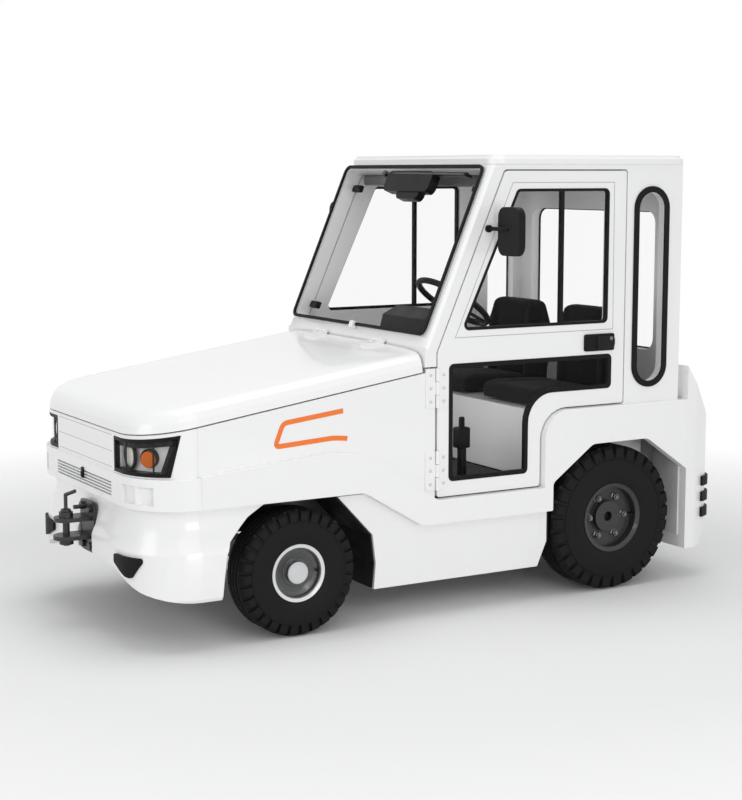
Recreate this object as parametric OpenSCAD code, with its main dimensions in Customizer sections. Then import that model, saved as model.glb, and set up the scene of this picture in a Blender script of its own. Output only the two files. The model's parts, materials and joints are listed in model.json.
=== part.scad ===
// Electric airport baggage tug with an enclosed two-seat cab.
// Millimetres. X points forward, Y to the driver's left, Z up, and the ground is Z = 0.
// Inside the modules X is counted from the front axle, and place() moves the whole to the part's origin.

$fn = 64;

/* [Overall] */
// distance between the axles
wheelbase = 1650; // [1400:10:1900]
// front axle to the front face of the nose band
nose_x = 700; // [620:5:780]
// rear axle to the rear face of the tail
tail_reach = 612; // [540:2:700]
// overall width across the fenders
body_w = 1340; // [1240:10:1440]
// how far the sides of the cab stand inside the fenders
cab_inset = 34; // [25:1:80]
// top of the roof above the ground
roof_top = 2011; // [1900:1:2150]

/* [Wheels] */
// front tyre, outer diameter
front_tyre_d = 540; // [500:2:560]
// front tyre, width
front_tyre_w = 160; // [140:2:170]
// front rim, bead seat diameter
front_rim_d = 229; // [200:1:240]
// rear tyre, outer diameter
rear_tyre_d = 676; // [620:2:690]
// rear tyre, width
rear_tyre_w = 190; // [160:2:195]
// rear rim, bead seat diameter
rear_rim_d = 305; // [280:1:320]
// how far the tyres stand inside the fenders
tyre_inset = 20; // [10:1:40]
// king pin to the front tyre's middle plane
king_offset = 106; // [100:1:115]

/* [Lower body] */
// lower edge of the nose band and top of the front arch
band_z = 586; // [575:1:610]
// top of the nose band under the headlamps
band_top = 716; // [700:1:740]
// corner radius of the nose in plan
nose_r = 250; // [200:5:280]
// lower edge of the sill under the door
sill_z = 411; // [380:1:425]
// top of the rear fender
fender_top = 870; // [840:1:880]
// thickness of the body side walls
wall = 50; // [40:1:55]
// lowest edge of the front bumper at its sides
bumper_z = 200; // [170:1:230]
// underside of the skirts and the tail
skirt_z = 150; // [140:1:180]

/* [Bonnet] */
// seam height at the nose, where the bonnet starts
seam_front = 886; // [860:1:910]
// seam height at the cab
seam_rear = 1090; // [1050:1:1110]
// height of the bonnet's crease above its seam
lid_h = 84; // [60:1:100]
// gap round the moving panels
gap = 6; // [5.5:0.5:8]

/* [Cab] */
// thickness of the roof panel
roof_t = 44; // [40:1:60]
// foot of the windscreen, behind the front axle
screen_x = 637; // [625:1:660]
// foot of the windscreen above the ground
screen_z = 1225; // [1200:1:1240]
// how far the windscreen leans back up to the roof
screen_lean = 318; // [280:1:340]
// rear axle to the rear wall of the cab
cab_back = 380; // [340:1:400]
// thickness of the cab walls
cab_wall = 46; // [40:1:50]
// top of the cab floor
floor_z = 545; // [535:1:555]

/* [Doors] */
// front edge of the door, behind the front axle
door_front = 685; // [682:1:700]
// rear axle to the rear edge of the door
door_back = 50; // [10:1:70]
// lower rear edge of the door to the rear axle
door_ahead = 416; // [400:1:450]
// lower edge of the door
door_low = 526; // [524:0.5:532]
// roof panel to the upper edge of the door
door_drop = 27; // [20:1:60]
// thickness of the door
door_t = 40; // [34:1:42]

/* [Hitch] */
// front face of the front hitch plate to its nose
hitch_reach = 150; // [130:1:170]
// clear height between the jaws
jaw_gap = 60; // [50:1:70]
// middle of the jaws above the ground
hitch_z = 430; // [415:1:440]
// drawbar pin diameter
pin_d = 30; // [25:1:35]

/* [Hidden] */
// half widths and planes that follow from the sizes above
body_y = body_w / 2;
cab_y = body_y - cab_inset;
cab_in = cab_y - cab_wall;
cab_rear = wheelbase + cab_back;
head_z = roof_top - roof_t;
door_rear = wheelbase + door_back;
door_step = wheelbase - door_ahead;
door_high = head_z - door_drop;
seat_top = fender_top - 10;
tyre_y = body_y - tyre_inset;
front_wheel_y = tyre_y - front_tyre_w / 2;
rear_wheel_y = tyre_y - rear_tyre_w / 2;
king_y = front_wheel_y - king_offset;
front_z = front_tyre_d / 2;
rear_z = rear_tyre_d / 2;
belt_in = body_y - wall;
tail_x = -(wheelbase + tail_reach);
tail_front = -(cab_rear + 34);
plate_x = nose_x - 12;
front_tip = plate_x + hitch_reach;
rear_tip = tail_x - 14 - hitch_reach;
axle_x = -(front_tip + rear_tip) / 2;
rail_out = body_y - 355;
rail_in = rail_out - 70;
rail_low = 400;
rail_top = 500;
nose_back = nose_x - nose_r;
seam_slope = (seam_rear - seam_front) / (nose_x - 10 + door_front - 5);
lean = screen_lean / (head_z - screen_z);
sill_top = door_low - gap;
wing_rear = -(door_front - 11);
bonnet_rear = -(screen_x - 27);
hinge_y = cab_y + 12;
hinge_x = -(door_front - 5);

// Colours of the preview
white = [0.9, 0.9, 0.88];
black = [0.08, 0.08, 0.09];
dark = [0.25, 0.26, 0.28];
grey = [0.55, 0.56, 0.57];
glass = [0.6, 0.75, 0.8, 0.4];

// Height of the bonnet's seam at a place along the car
function seam(x) = seam_front + seam_slope * (nose_x - 10 - x);

// Where the windscreen's plane stands at a height
function screen_at(z) = -screen_x - lean * (z - screen_z);

function unit(v) = v / norm(v);

// Points of the arc that rounds corner b between its neighbours a and c
function corner_arc(a, b, c, r, n) =
    let (u = unit(a - b),
         w = unit(c - b),
         half = acos(u * w) / 2,
         mid = b + unit(u + w) * r / sin(half),
         p = b + u * r / tan(half) - mid,
         q = b + w * r / tan(half) - mid,
         start = atan2(p.y, p.x),
         turn = ((atan2(q.y, q.x) - start + 540) % 360) - 180)
    [for (i = [0:n]) mid + r * [cos(start + turn * i / n), sin(start + turn * i / n)]];

// Outline with rounded corners, from points given as x, y and radius
function rounded(pts, n = 8) =
    [for (i = [0:len(pts) - 1])
        let (k = len(pts),
             a = [pts[(i + k - 1) % k].x, pts[(i + k - 1) % k].y],
             b = [pts[i].x, pts[i].y],
             c = [pts[(i + 1) % k].x, pts[(i + 1) % k].y])
        each (pts[i].z > 0 ? corner_arc(a, b, c, pts[i].z, n) : [b])];

// Moves the whole car from the front axle to the part's origin
module place() {
    translate([axle_x, 0, 0])
        children();
}

// Extrudes a side view, drawn with x forward and z up, from one y to another
module side(y0, y1) {
    translate([0, y1, 0])
        rotate([90, 0, 0])
            linear_extrude(y1 - y0)
                children();
}

// The children and their mirror image on the other side of the car
module both() {
    children();
    mirror([0, 1, 0])
        children();
}

// Cylinder along Y from y0 to y1
module rod_y(r, y0, y1) {
    translate([0, y0, 0])
        rotate([-90, 0, 0])
            cylinder(r = r, h = y1 - y0);
}

// Block from one corner to the opposite corner
module block(a, b) {
    translate(a)
        cube(b - a);
}

// Rectangle with rounded corners round the origin
module pill(w, h, r) {
    if (w > 2 * r)
        square([w - 2 * r, h], center = true);
    square([w, h - 2 * r], center = true);
    for (i = [-1, 1])
        for (j = [-1, 1])
            translate([i * (w / 2 - r), j * (h / 2 - r)])
                circle(r);
}

// Plan of the nose with round front corners, back to a given x
module nose_plan(x, half, r, back) {
    intersection() {
        union() {
            translate([back - r, -half])
                square([x - back, 2 * half]);
            translate([x - r - 1, -half + r])
                square([r + 1, 2 * (half - r)]);
            for (i = [-1, 1])
                translate([x - r, i * (half - r)])
                    circle(r, $fn = 96);
        }
        translate([back, -half])
            square([x - back, 2 * half]);
    }
}

// Points of the same plan for lofts, from the left rear round the front to the right rear
function nose_ring(x, half, r, back, n = 10) =
    [[back, half],
     for (i = [0:n]) [x - r + r * sin(90 * i / n), half - r + r * cos(90 * i / n)],
     for (i = [0:n]) [x - r + r * cos(90 * i / n), -half + r - r * sin(90 * i / n)],
     [back, -half]];

// Skins a stack of rings with the same number of points, from the bottom up
module loft(rings) {
    m = len(rings[0]);
    k = len(rings);
    pts = [for (r = rings) each r];
    sides = [for (j = [0:k - 2]) for (i = [0:m - 1])
        let (a = j * m + i, b = j * m + (i + 1) % m)
        each [[a, b, b + m], [a, b + m, a + m]]];
    low = [[for (i = [0:m - 1]) m - 1 - i]];
    top = [[for (i = [0:m - 1]) (k - 1) * m + i]];
    polyhedron(pts, concat(sides, low, top), convexity = 6);
}

// Chassis

module frame_rails() {
    color(dark)
        place() {
            both()
                block([tail_front, rail_in, rail_low], [nose_x - 140, rail_out, rail_top]);
            for (x = [nose_x - 140, -330, -(wheelbase - 520)])
                block([x - 80, -rail_in - 5, rail_low], [x, rail_in + 5, rail_top - 10]);
            block([tail_front, -rail_in - 5, rail_low], [tail_front + 60, rail_in + 5, rail_top - 10]);
            block([nose_x - 140, -(body_y - 250), 330], [nose_x - 60, body_y - 250, band_z - 20]);
        }
}

module floor_pan() {
    color(dark)
        place() {
            block([-door_step, -belt_in, rail_top], [wing_rear - 0.3, belt_in, door_low - 11]);
            block([-door_step, -(cab_y - door_t - 10), rail_top], [-screen_x, cab_y - door_t - 10, floor_z]);
        }
}

module front_axle() {
    color(dark)
        place()
            translate([0, 0, front_z])
                both() {
                    block([-35, -1, -45], [35, king_y - 66, 45]);
                    block([-40, rail_in + 5, 40], [40, rail_out - 5, rail_low - front_z]);
                    for (z = [-72, 47])
                        hull() {
                            translate([0, king_y, z])
                                cylinder(r = 34, h = 25);
                            block([-35, king_y - 100, z], [35, king_y - 66, z + 25]);
                        }
                    block([-35, king_y - 100, -72], [35, king_y - 65, 72]);
                    translate([0, king_y, -76])
                        cylinder(r = 15, h = 152);
                }
}

module rear_axle() {
    color(dark)
        place()
            translate([-wheelbase, 0, rear_z]) {
                both() {
                    rod_y(55, -1, rear_wheel_y - 100);
                    rod_y(30, 0, rear_wheel_y + 20);
                    block([-50, rail_in + 5, 20], [50, rail_out - 5, rail_low - rear_z]);
                }
                sphere(r = 140);
                rotate([0, 90, 0])
                    cylinder(r = 105, h = 330);
            }
}

module battery_block() {
    color(dark)
        place()
            block([-(screen_x - 77), -rail_out + 5, rail_top], [nose_x - 280, rail_out - 5, fender_top - 20]);
}

// Top of the skirts behind the front wheels
skirt_top = band_z - 14;

module skirt_profile() {
    polygon([[-376, skirt_z], [-386, 262], [-370, 390], [-200, skirt_top], [-330, skirt_top], [-600, rail_top],
        [-tail_low_x(), rail_top], [-tail_low_x(), 262], [-tail_low_x() + 50, skirt_z]]);
}

// Front edge of the rear arch
function tail_low_x() = wheelbase - 362;

// Takes the lower side off along a slope
module skirt_cut() {
    translate([-2000, belt_in, skirt_z + 112])
        rotate([24, 0, 0])
            translate([0, 0, -200])
                cube([2000, 200, 200]);
}

module skirts() {
    color(white)
        place()
            both()
                difference() {
                    side(rail_out, belt_in)
                        skirt_profile();
                    skirt_cut();
                    block([-2000, belt_in - 1, sill_z - 1], [0, belt_in + 1, band_z]);
                }
}

// Black liners of the wheel arches, a few millimetres thick
liner_t = 6;

module wheel_liners() {
    color(black)
        place()
            both() {
                difference() {
                    side(rail_out + 0.3, belt_in - 12.3)
                        polygon([[-375, skirt_z + 4], [-385.6, 262], [-369.4, 389.6], [-199.4, skirt_top - 0.2],
                            [-199.4, band_z - liner_t], [340, band_z - liner_t], [340, band_z - 2 * liner_t],
                            [-199.4 + liner_t, band_z - 2 * liner_t], [-199.4 + liner_t, skirt_top - 2.6],
                            [-369.4 + liner_t, 387], [-385.6 + liner_t, 262], [-375 + liner_t, skirt_z + 4]]);
                    skirt_cut();
                }
                side(rear_wheel_y - 124.7, belt_in - 0.3)
                    polygon([[tail_front + 0.3, skirt_z + 60], [tail_front + 0.3, seat_top - 100.3],
                        [seat_x - 0.3, seat_top - 100.3], [seat_x - 0.3, 262], [seat_x - 0.3 - liner_t, 262],
                        [seat_x - 0.3 - liner_t, seat_top - 100.3 - liner_t],
                        [tail_front + 0.3 + liner_t, seat_top - 100.3 - liner_t],
                        [tail_front + 0.3 + liner_t, skirt_z + 60]]);
            }
}

// Lower body

// Insets of the front bumper from the band's plan, as height and inset
function bumper_profile() = [[bumper_z, 14], [bumper_z + 20, 2], [405, 0], [420, 4], [450, 18],
    [500, 34], [540, 40], [band_z, 38]];

// Lower edge of the front bumper seen from the front, as y and z
function bumper_edge() =
    let (half = [[body_y + 5, bumper_z - 2], [body_y - 50, bumper_z + 22], [body_y - 130, bumper_z + 46],
            [body_y - 220, bumper_z + 83], [body_y - 310, bumper_z + 111], [body_y - 420, bumper_z + 128]])
    [for (q = half) q, for (i = [len(half) - 1 : -1 : 0]) [-half[i].x, half[i].y]];

// Rubber corner seen from the front, as y and z
function wedge_outline() =
    rounded([[body_y - 306, 383, 10], [body_y - 306, 347, 12], [body_y - 200, 305, 14],
        [body_y - 168, 303, 14], [body_y - 116, 372, 12], [body_y - 116, 391, 10]], 4);

module front_bumper() {
    color(white)
        place()
            difference() {
                loft([for (p = bumper_profile())
                    [for (q = nose_ring(nose_x - p[1], body_y - p[1], nose_r - p[1], 150)) [q.x, q.y, p[0]]]]);
                translate([0, 0, bumper_z - 1])
                    linear_extrude(band_z)
                        nose_plan(nose_x - 60, body_y - 62, nose_r - 60, 100);
                side(-body_y - 10, body_y + 10)
                    polygon([[366, bumper_z - 30], [343, 382], [321, 441], [230, 531], [140, band_z + 1],
                        [100, band_z + 1], [100, bumper_z - 30]]);
                rotate([90, 0, 90])
                    linear_extrude(nose_x + 10)
                        polygon(bumper_edge());
                block([plate_x - 14.3, -82, 300], [nose_x + 10, 82, hitch_z + 112]);
            }
}

// Shape of the lower side: band, arch, sill and rear fender, with both wheel arches cut out
function belt_outline() = rounded([
    [nose_back, band_z, 0],
    [-306, band_z, 90],
    [-593, sill_z + 4, 60],
    [-tail_low_x(), sill_z, 8],
    [-tail_low_x(), 539, 30],
    [-(wheelbase - 140), 700, 60],
    [-(wheelbase + 177), 702, 60],
    [tail_front, 539, 0],
    [tail_front, fender_top, 0],
    [-(door_step + gap), fender_top, 140 - gap],
    [-(door_step + gap), sill_top, 4],
    [-672, sill_top, 60],
    [-418, 687, 60],
    [-286, 756, 90],
    [-158, 772, 120],
    [nose_back, band_top + 5, 0]]);

module side_body_l() {
    side(belt_in, body_y)
        polygon(belt_outline());
    side(cab_in, cab_y)
        polygon([[nose_back, 690], [nose_back, seam(nose_back) - gap], [wing_rear, seam(wing_rear) - gap],
            [wing_rear, rail_top + 0.3], [-430, 610], [-200, 690]]);
    block([tail_front, rear_wheel_y - 120, seat_top - 100], [seat_x - 0.3, belt_in + 1, seat_top - 70.3]);
    for (z = [646, 1008])
        fixed_leaf(z);
}

// Half of a door hinge that is screwed to the wing, with the middle of the barrel
module fixed_leaf(z) {
    block([wing_rear + 4, cab_y - 1, z - 86], [wing_rear + 52, hinge_y - 4, z + 86]);
    block([hinge_x - 4, cab_y + 3, z - 28], [wing_rear + 8, hinge_y - 4, z + 28]);
    translate([hinge_x, hinge_y, z - 28])
        cylinder(r = 9, h = 56);
}

module side_body_left() {
    color(white)
        place()
            side_body_l();
}

module side_body_right() {
    color(white)
        place()
            mirror([0, 1, 0])
                side_body_l();
}

// Ring wall of the nose with outer plan at an inset, between two heights
module nose_wall(d, t, z0, z1) {
    translate([0, 0, z0])
        linear_extrude(z1 - z0)
            difference() {
                nose_plan(nose_x - d, body_y - d, nose_r - d, nose_back);
                nose_plan(nose_x - d - t, body_y - d - t, nose_r - d - t, nose_back - 1);
            }
}

// How far the upper nose stands behind the band
upper_front = 10;

module upper_plan(d, back) {
    nose_plan(nose_x - upper_front - d, cab_y - d, nose_r - upper_front - d, back);
}

// Cuts the nose off along the bonnet's seam
module under_seam(d) {
    intersection() {
        children();
        side(-body_y, body_y)
            polygon([[nose_back - 50, band_z - 100], [nose_x + 50, band_z - 100],
                [nose_x + 50, seam(nose_x + 50) - d], [nose_back - 50, seam(nose_back - 50) - d]]);
    }
}

// Space of a headlamp, on the left corner
lamp_low = band_top + 4;
lamp_in = body_y - 338;
lamp_top = 20;

module lamp_space(d) {
    side(lamp_in + d, body_y)
        polygon([[nose_x - 142 + d, lamp_low + d], [nose_x + 40, lamp_low + d],
            [nose_x + 40, seam(nose_x + 40) - lamp_top - d],
            [nose_x - 182 + d, seam(nose_x - 182) - lamp_top - d]]);
}

module upper_wall(t0, t1, z0) {
    under_seam(gap)
        translate([0, 0, z0])
            linear_extrude(seam(nose_back) - z0)
                difference() {
                    upper_plan(t0, nose_back);
                    upper_plan(t1, nose_back - 1);
                }
}

// Two shallow pockets in the band beside the grille
module fog_pockets() {
    intersection() {
        nose_wall(-10, 28, band_z + 22, band_z + 96);
        for (y = [[body_y - 229, body_y - 150], [body_y - 142, body_y - 76]])
            block([nose_back + 20, y[0], band_z], [nose_x + 20, y[1], band_top]);
    }
}

module nose_panel() {
    color(white)
        place()
            difference() {
                union() {
                    nose_wall(0, 60, band_z, band_top);
                    upper_wall(0, 60, band_top);
                }
                both()
                    intersection() {
                        lamp_space(0);
                        translate([0, 0, lamp_low - 10])
                            linear_extrude(300)
                                difference() {
                                    nose_plan(nose_x + 20, body_y + 20, nose_r, nose_back);
                                    upper_plan(46, nose_back - 1);
                                }
                    }
                for (z = [band_z + 28 : 13 : band_z + 80])
                    block([nose_x - 30, -(body_y - 349), z], [nose_x + 5, body_y - 349, z + 7]);
                both()
                    fog_pockets();
            }
}

module headlamp_bezels() {
    color(black)
        place()
            both()
                difference() {
                    intersection() {
                        upper_wall(0.3, 45.7, lamp_low);
                        lamp_space(0.3);
                    }
                    lamp_space(16);
                }
}

module headlamp_lenses() {
    color(glass)
        place()
            both()
                intersection() {
                    upper_wall(8, 12, lamp_low);
                    lamp_space(16.3);
                }
}

// Round lamp that looks forward out of its housing
module lamp_disc(x, y, z, r, h) {
    translate([x, y, z])
        rotate([0, 90, 0])
            cylinder(r = r, h = h);
}

module headlamps() {
    color(grey)
        place()
            both()
                lamp_disc(nose_x - upper_front - 45.7, lamp_in + 84, lamp_low + 72, 46, 14);
}

module indicators() {
    color([0.95, 0.5, 0.1])
        place()
            both()
                translate([nose_x - nose_r, cab_y - nose_r + upper_front, lamp_low + 68])
                    rotate([0, 0, 38])
                        translate([nose_r - upper_front - 45.4, 0, 0])
                            rotate([0, 90, 0])
                                cylinder(r = 34, h = 26);
}

// Plan of the tail, grown by a distance
module tail_plan(d) {
    polygon(rounded([[tail_front, -body_y - d, 0], [tail_front, body_y + d, 0],
        [tail_front - 60, body_y - 4 + 1.108 * d, 60], [tail_x - d, body_y - 70 + 0.63 * d, 90 + d],
        [tail_x - d, -body_y + 70 - 0.63 * d, 90 + d], [tail_front - 60, -body_y + 4 - 1.108 * d, 60]]));
}

module tail_body() {
    color(white)
        place()
            union() {
                intersection() {
                    translate([0, 0, skirt_z])
                        linear_extrude(1200)
                            tail_plan(0);
                    side(-body_y, body_y)
                        polygon([[tail_front, skirt_z], [tail_front, fender_top + 158],
                            [tail_x, fender_top - 135], [tail_x, 285], [tail_x + 95, skirt_z]]);
                }
                side(-cab_y + 40, cab_y - 40)
                    polygon([[-cab_rear, fender_top], [-cab_rear, fender_top + 180],
                        [-cab_rear - 20, fender_top + 180], [-cab_rear - 40, fender_top + 149],
                        [-cab_rear - 40, fender_top]]);
            }
}

module rubber_buffers() {
    color(black)
        place()
            both() {
                intersection() {
                    translate([0, 0, 290])
                        linear_extrude(120)
                            difference() {
                                nose_plan(nose_x + 13, body_y + 13, nose_r + 13, nose_back);
                                nose_plan(nose_x + 0.3, body_y + 0.3, nose_r + 0.3, nose_back - 1);
                            }
                    rotate([90, 0, 90])
                        linear_extrude(nose_x + 50)
                            polygon(wedge_outline());
                }
                for (z = [288, 364, 440])
                    translate([0, 0, z])
                        linear_extrude(45)
                            intersection() {
                                difference() {
                                    tail_plan(14);
                                    tail_plan(0.3);
                                }
                                translate([tail_x - 30, body_y - 130])
                                    square([110, 140]);
                            }
            }
}

module tail_lamps() {
    color([0.8, 0.08, 0.06])
        place()
            both()
                translate([tail_x, body_y - 230, 600])
                    rotate([0, -90, 0])
                        cylinder(r = 45, h = 18);
}

// Cab

module door_outline(g) {
    polygon(rounded([[-door_front + g, door_low - g, 14], [-door_front + g, screen_z - 65 + g / 4, 30],
        [screen_at(door_high) - 87 + g, door_high + g, 24], [-door_rear - g, door_high + g, 14],
        [-door_rear - g, fender_top + gap - g, 12], [-door_step - g, fender_top + gap - g, 140 - g],
        [-door_step - g, door_low - g, 14]]));
}

module cab_outer() {
    polygon([[-screen_x + 17, screen_z - 125], [-screen_x + 17, screen_z - 41], [-screen_x, screen_z],
        [screen_at(head_z), head_z], [-cab_rear, head_z], [-cab_rear, fender_top],
        [-door_rear + 300, fender_top], [-door_front - 75, screen_z - 125]]);
}

module cab_inner() {
    polygon([[-screen_x - 29, screen_z - 175], [-screen_x - 29, screen_z - 41], [-screen_x - 47, screen_z],
        [screen_at(head_z) - 27, head_z - cab_wall], [-cab_rear + cab_wall, head_z - cab_wall],
        [-cab_rear + cab_wall, fender_top - 1], [-door_rear + 300, fender_top - 1]]);
}

// Lower and upper edges of the slot windows and of the rear window
slot_low = fender_top + 92;
slot_high = head_z - 119;
rear_low = fender_top + 220;
rear_high = head_z - 217;

module slot_plan(d) {
    translate([-(cab_rear + door_rear) / 2 + 16, (slot_low + slot_high) / 2])
        pill(160 + 2 * d, slot_high - slot_low + 2 * d, 80 + d);
}

module rear_window_plan(d) {
    pill(2 * cab_y - 272 + 2 * d, rear_high - rear_low + 2 * d, 60 + d);
}

// Turns the windscreen's own frame: z out of the glass, x down the slope
module on_screen() {
    translate([-screen_x, 0, screen_z])
        rotate([0, 90 - atan(lean), 0])
            children();
}

// Length of the windscreen's slope
slope = norm([screen_lean, head_z - screen_z]);

module screen_plan(d) {
    translate([-slope / 2 + 2, 0])
        pill(slope - 44 + 2 * d, 2 * cab_y - 80 + 2 * d, 24 + d);
}

// Takes the corner between the windscreen and the side off in two flats
module pillar_flats() {
    on_screen()
        translate([-slope - 60, cab_y, 0])
            rotate([90, 0, 90])
                linear_extrude(slope + 103)
                    polygon([[-27, 2], [-7, -6], [2, -26], [30, -26], [30, 30], [-27, 30]]);
}

module cab_frame() {
    color(white)
        place()
            difference() {
                union() {
                    difference() {
                        side(-cab_y, cab_y)
                            cab_outer();
                        side(-cab_in, cab_in)
                            cab_inner();
                    }
                    block([-door_front + 1, -cab_in + 2, floor_z], [-screen_x - 3, cab_in - 2, screen_z - 75]);
                    lid_hinge_fixed();
                }
                both()
                    side(cab_in - 40, cab_y + 10)
                        door_outline(gap);
                both()
                    side(cab_in - 40, cab_y + 10)
                        slot_plan(0);
                both()
                    pillar_flats();
                on_screen()
                    translate([0, 0, -90])
                        linear_extrude(180)
                            screen_plan(0);
                translate([-cab_rear - 10, 0, (rear_low + rear_high) / 2])
                    rotate([90, 0, 90])
                        linear_extrude(100)
                            rear_window_plan(0);
            }
}

module roof() {
    color(white)
        place()
            for (t = [[0, head_z, roof_t - 14], [14, roof_top - 14, 14]])
                translate([(screen_at(head_z) - cab_rear) / 2 - 20, 0, t[1]])
                    linear_extrude(t[2])
                        pill(cab_rear + screen_at(head_z) + 20 - 2 * t[0], 2 * (cab_y + 8 - t[0]), 70 - t[0]);
}

module windscreen() {
    color(glass)
        place()
            on_screen()
                translate([0, 0, 1])
                    linear_extrude(7)
                        screen_plan(14);
}

module cab_windows() {
    color(glass)
        place() {
            both()
                side(cab_y - 24, cab_y - 18)
                    slot_plan(-0.3);
            translate([-cab_rear + 18, 0, (rear_low + rear_high) / 2])
                rotate([90, 0, 90])
                    linear_extrude(6)
                        rear_window_plan(-0.3);
        }
}

module window_seals() {
    color(black)
        place() {
            on_screen()
                translate([0, 0, 8.3])
                    linear_extrude(10)
                        difference() {
                            screen_plan(16);
                            screen_plan(2);
                        }
            both()
                side(cab_y + 0.3, cab_y + 7)
                    difference() {
                        slot_plan(22);
                        slot_plan(-6);
                    }
            translate([-cab_rear - 7, 0, (rear_low + rear_high) / 2])
                rotate([90, 0, 90])
                    linear_extrude(6.7)
                        difference() {
                            rear_window_plan(22);
                            rear_window_plan(-6);
                        }
        }
}

module wiper() {
    color(black)
        place()
            on_screen() {
                translate([-slope + 102, cab_y * 0.13, 8.3])
                    linear_extrude(44)
                        pill(100, cab_y * 0.62, 30);
                translate([-slope + 150, cab_y * 0.17, 8.3])
                    linear_extrude(38)
                        pill(74, cab_y * 0.3, 30);
                block([-slope + 54, -cab_y * 0.26, 30], [-slope + 72, cab_y * 0.84, 42]);
                block([-slope + 56, cab_y * 0.2, 8.3], [-slope + 70, cab_y * 0.84, 31]);
            }
}

// Steering column under the wheel, grown at its lower end by a length
module column(r, more) {
    translate(wheel_at)
        rotate([0, wheel_tilt, 0])
            translate([0, 0, -176 - more])
                cylinder(r = r, h = 145.7 + more);
}

// Fire wall's rear face and top of the dashboard
dash_x = -door_front;
dash_z = screen_z - 10;

module dashboard() {
    color(black)
        place() {
            side(-cab_in + 2, cab_in - 2)
                polygon([[dash_x + 0.7, dash_z - 235], [dash_x + 0.7, dash_z], [dash_x - 75, dash_z],
                    [dash_x - 85, dash_z - 35], [dash_x - 45, dash_z - 235]]);
            difference() {
                side(wheel_at.y - 220, cab_in - 12)
                    polygon([[dash_x - 15, dash_z], [dash_x - 35, dash_z + 75], [wheel_at.x + 160, dash_z + 115],
                        [wheel_at.x + 90, dash_z + 75], [wheel_at.x + 110, dash_z + 25],
                        [dash_x - 80, dash_z - 15]]);
                column(32.3, 0.3);
            }
        }
}

// Centre and tilt of the steering wheel
wheel_z = screen_z + 125;
wheel_at = [screen_at(wheel_z + 100) - 227, cab_in - 260, wheel_z];
wheel_tilt = -35;

module steering_column() {
    color(black)
        place()
            column(32, 0);
}

module steering_wheel() {
    color(black)
        place()
            translate(wheel_at)
                rotate([0, wheel_tilt, 0]) {
                    rotate_extrude()
                        translate([178, 0])
                            circle(14, $fn = 24);
                    translate([0, 0, -30])
                        cylinder(r = 45, h = 36);
                    for (a = [30, 150, 270])
                        rotate([0, 0, a])
                            block([0, -12, -12], [176, 12, -2]);
                }
}

// Front of the seat cushions, front of their backs, and their place across the cab
seat_x = -(door_step + 56);
back_x = -(cab_rear - 330);
seat_half = (cab_in - 130) / 2;
seat_y = (cab_in + 10) / 2;

module seat_box() {
    color(grey)
        place() {
            block([seat_x, -cab_in + 6, floor_z], [-door_step - 12, cab_in - 6, seat_top]);
            block([-cab_rear + cab_wall, -rear_wheel_y + 125, floor_z], [seat_x, rear_wheel_y - 125, seat_top]);
            block([-cab_rear + cab_wall, -cab_in + 6, seat_top - 70], [seat_x, cab_in - 6, seat_top]);
        }
}

module seats() {
    color(black)
        place()
            for (y = [-seat_y, seat_y]) {
                side(y - seat_half, y + seat_half)
                    polygon(rounded([[seat_x, seat_top, 0], [seat_x + 5, seat_top + 95, 40],
                        [back_x, seat_top + 80, 40], [back_x, seat_top, 0]]));
                intersection() {
                    side(y - seat_half, y + seat_half)
                        polygon(rounded([[back_x - 2, seat_top, 0], [back_x - 20, seat_top + 446, 40],
                            [back_x - 130, seat_top + 446, 40], [back_x - 100, seat_top, 0]]));
                    translate([back_x - 200, y, seat_top - 1])
                        rotate([90, 0, 90])
                            linear_extrude(300)
                                polygon(rounded([[-seat_half + 8, 0, 0], [-seat_half + 8, 330, 40],
                                    [-seat_half + 66, 447, 40], [seat_half - 66, 447, 40],
                                    [seat_half - 8, 330, 40], [seat_half - 8, 0, 0]]));
                }
            }
}

// Hitches

module jaw_plan(r) {
    translate([94, 0])
        circle(r);
    translate([-1, -r])
        square([95, 2 * r]);
}

// Towing jaw on its plate, with the plate's front face at x = 0
module jaw() {
    difference() {
        union() {
            translate([-14, 0, 0])
                rotate([90, 0, 90])
                    linear_extrude(14)
                        pill(160, 220, 26);
            for (y = [-44, 44])
                for (z = [-82, 82])
                    translate([-1, y, z])
                        rotate([0, 90, 0])
                            cylinder(r = 17, h = 14);
            translate([-1, 0, 86])
                rotate([0, 90, 0])
                    cylinder(r = 9, h = 60);
            for (z = [-jaw_gap / 2 - 18, jaw_gap / 2])
                translate([0, 0, z])
                    linear_extrude(18)
                        jaw_plan(z < 0 ? hitch_reach - 94 : hitch_reach - 98);
            for (z = [-jaw_gap / 2 - 40, jaw_gap / 2 + 17])
                translate([94, 0, z])
                    cylinder(r = 30, h = 23);
        }
        translate([94, 0, -120])
            cylinder(d = pin_d + 0.6, h = 240);
    }
    translate([94, 0, -jaw_gap / 2 - 46])
        cylinder(d = pin_d, h = jaw_gap + 100);
    translate([94, 0, jaw_gap / 2 + 40.3])
        cylinder(d = pin_d + 14, h = 10);
    translate([94, 0, jaw_gap / 2 + 45])
        cylinder(r = 8, h = 68);
    translate([94, 0, jaw_gap / 2 + 113])
        sphere(r = 8);
    translate([94, 0, jaw_gap / 2 + 113])
        rotate([-68, 0, 40])
            cylinder(r = 8, h = 52);
}

module front_hitch() {
    color(black)
        place()
            translate([plate_x, 0, hitch_z])
                jaw();
}

module rear_hitch() {
    color(black)
        place()
            translate([tail_x - 14, 0, hitch_z])
                mirror([1, 0, 0])
                    jaw();
}

// Bonnet

// Axis of the bonnet's hinges, above its rear edge
lid_x = bonnet_rear + 1;
lid_z = seam(bonnet_rear) + lid_h + 26;
lid_hinge_y = cab_y - 371;

// Hinge segment on the bonnet's axis
module lid_barrel(y0, y1) {
    translate([lid_x, 0, lid_z])
        rod_y(8, y0, y1);
}

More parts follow.
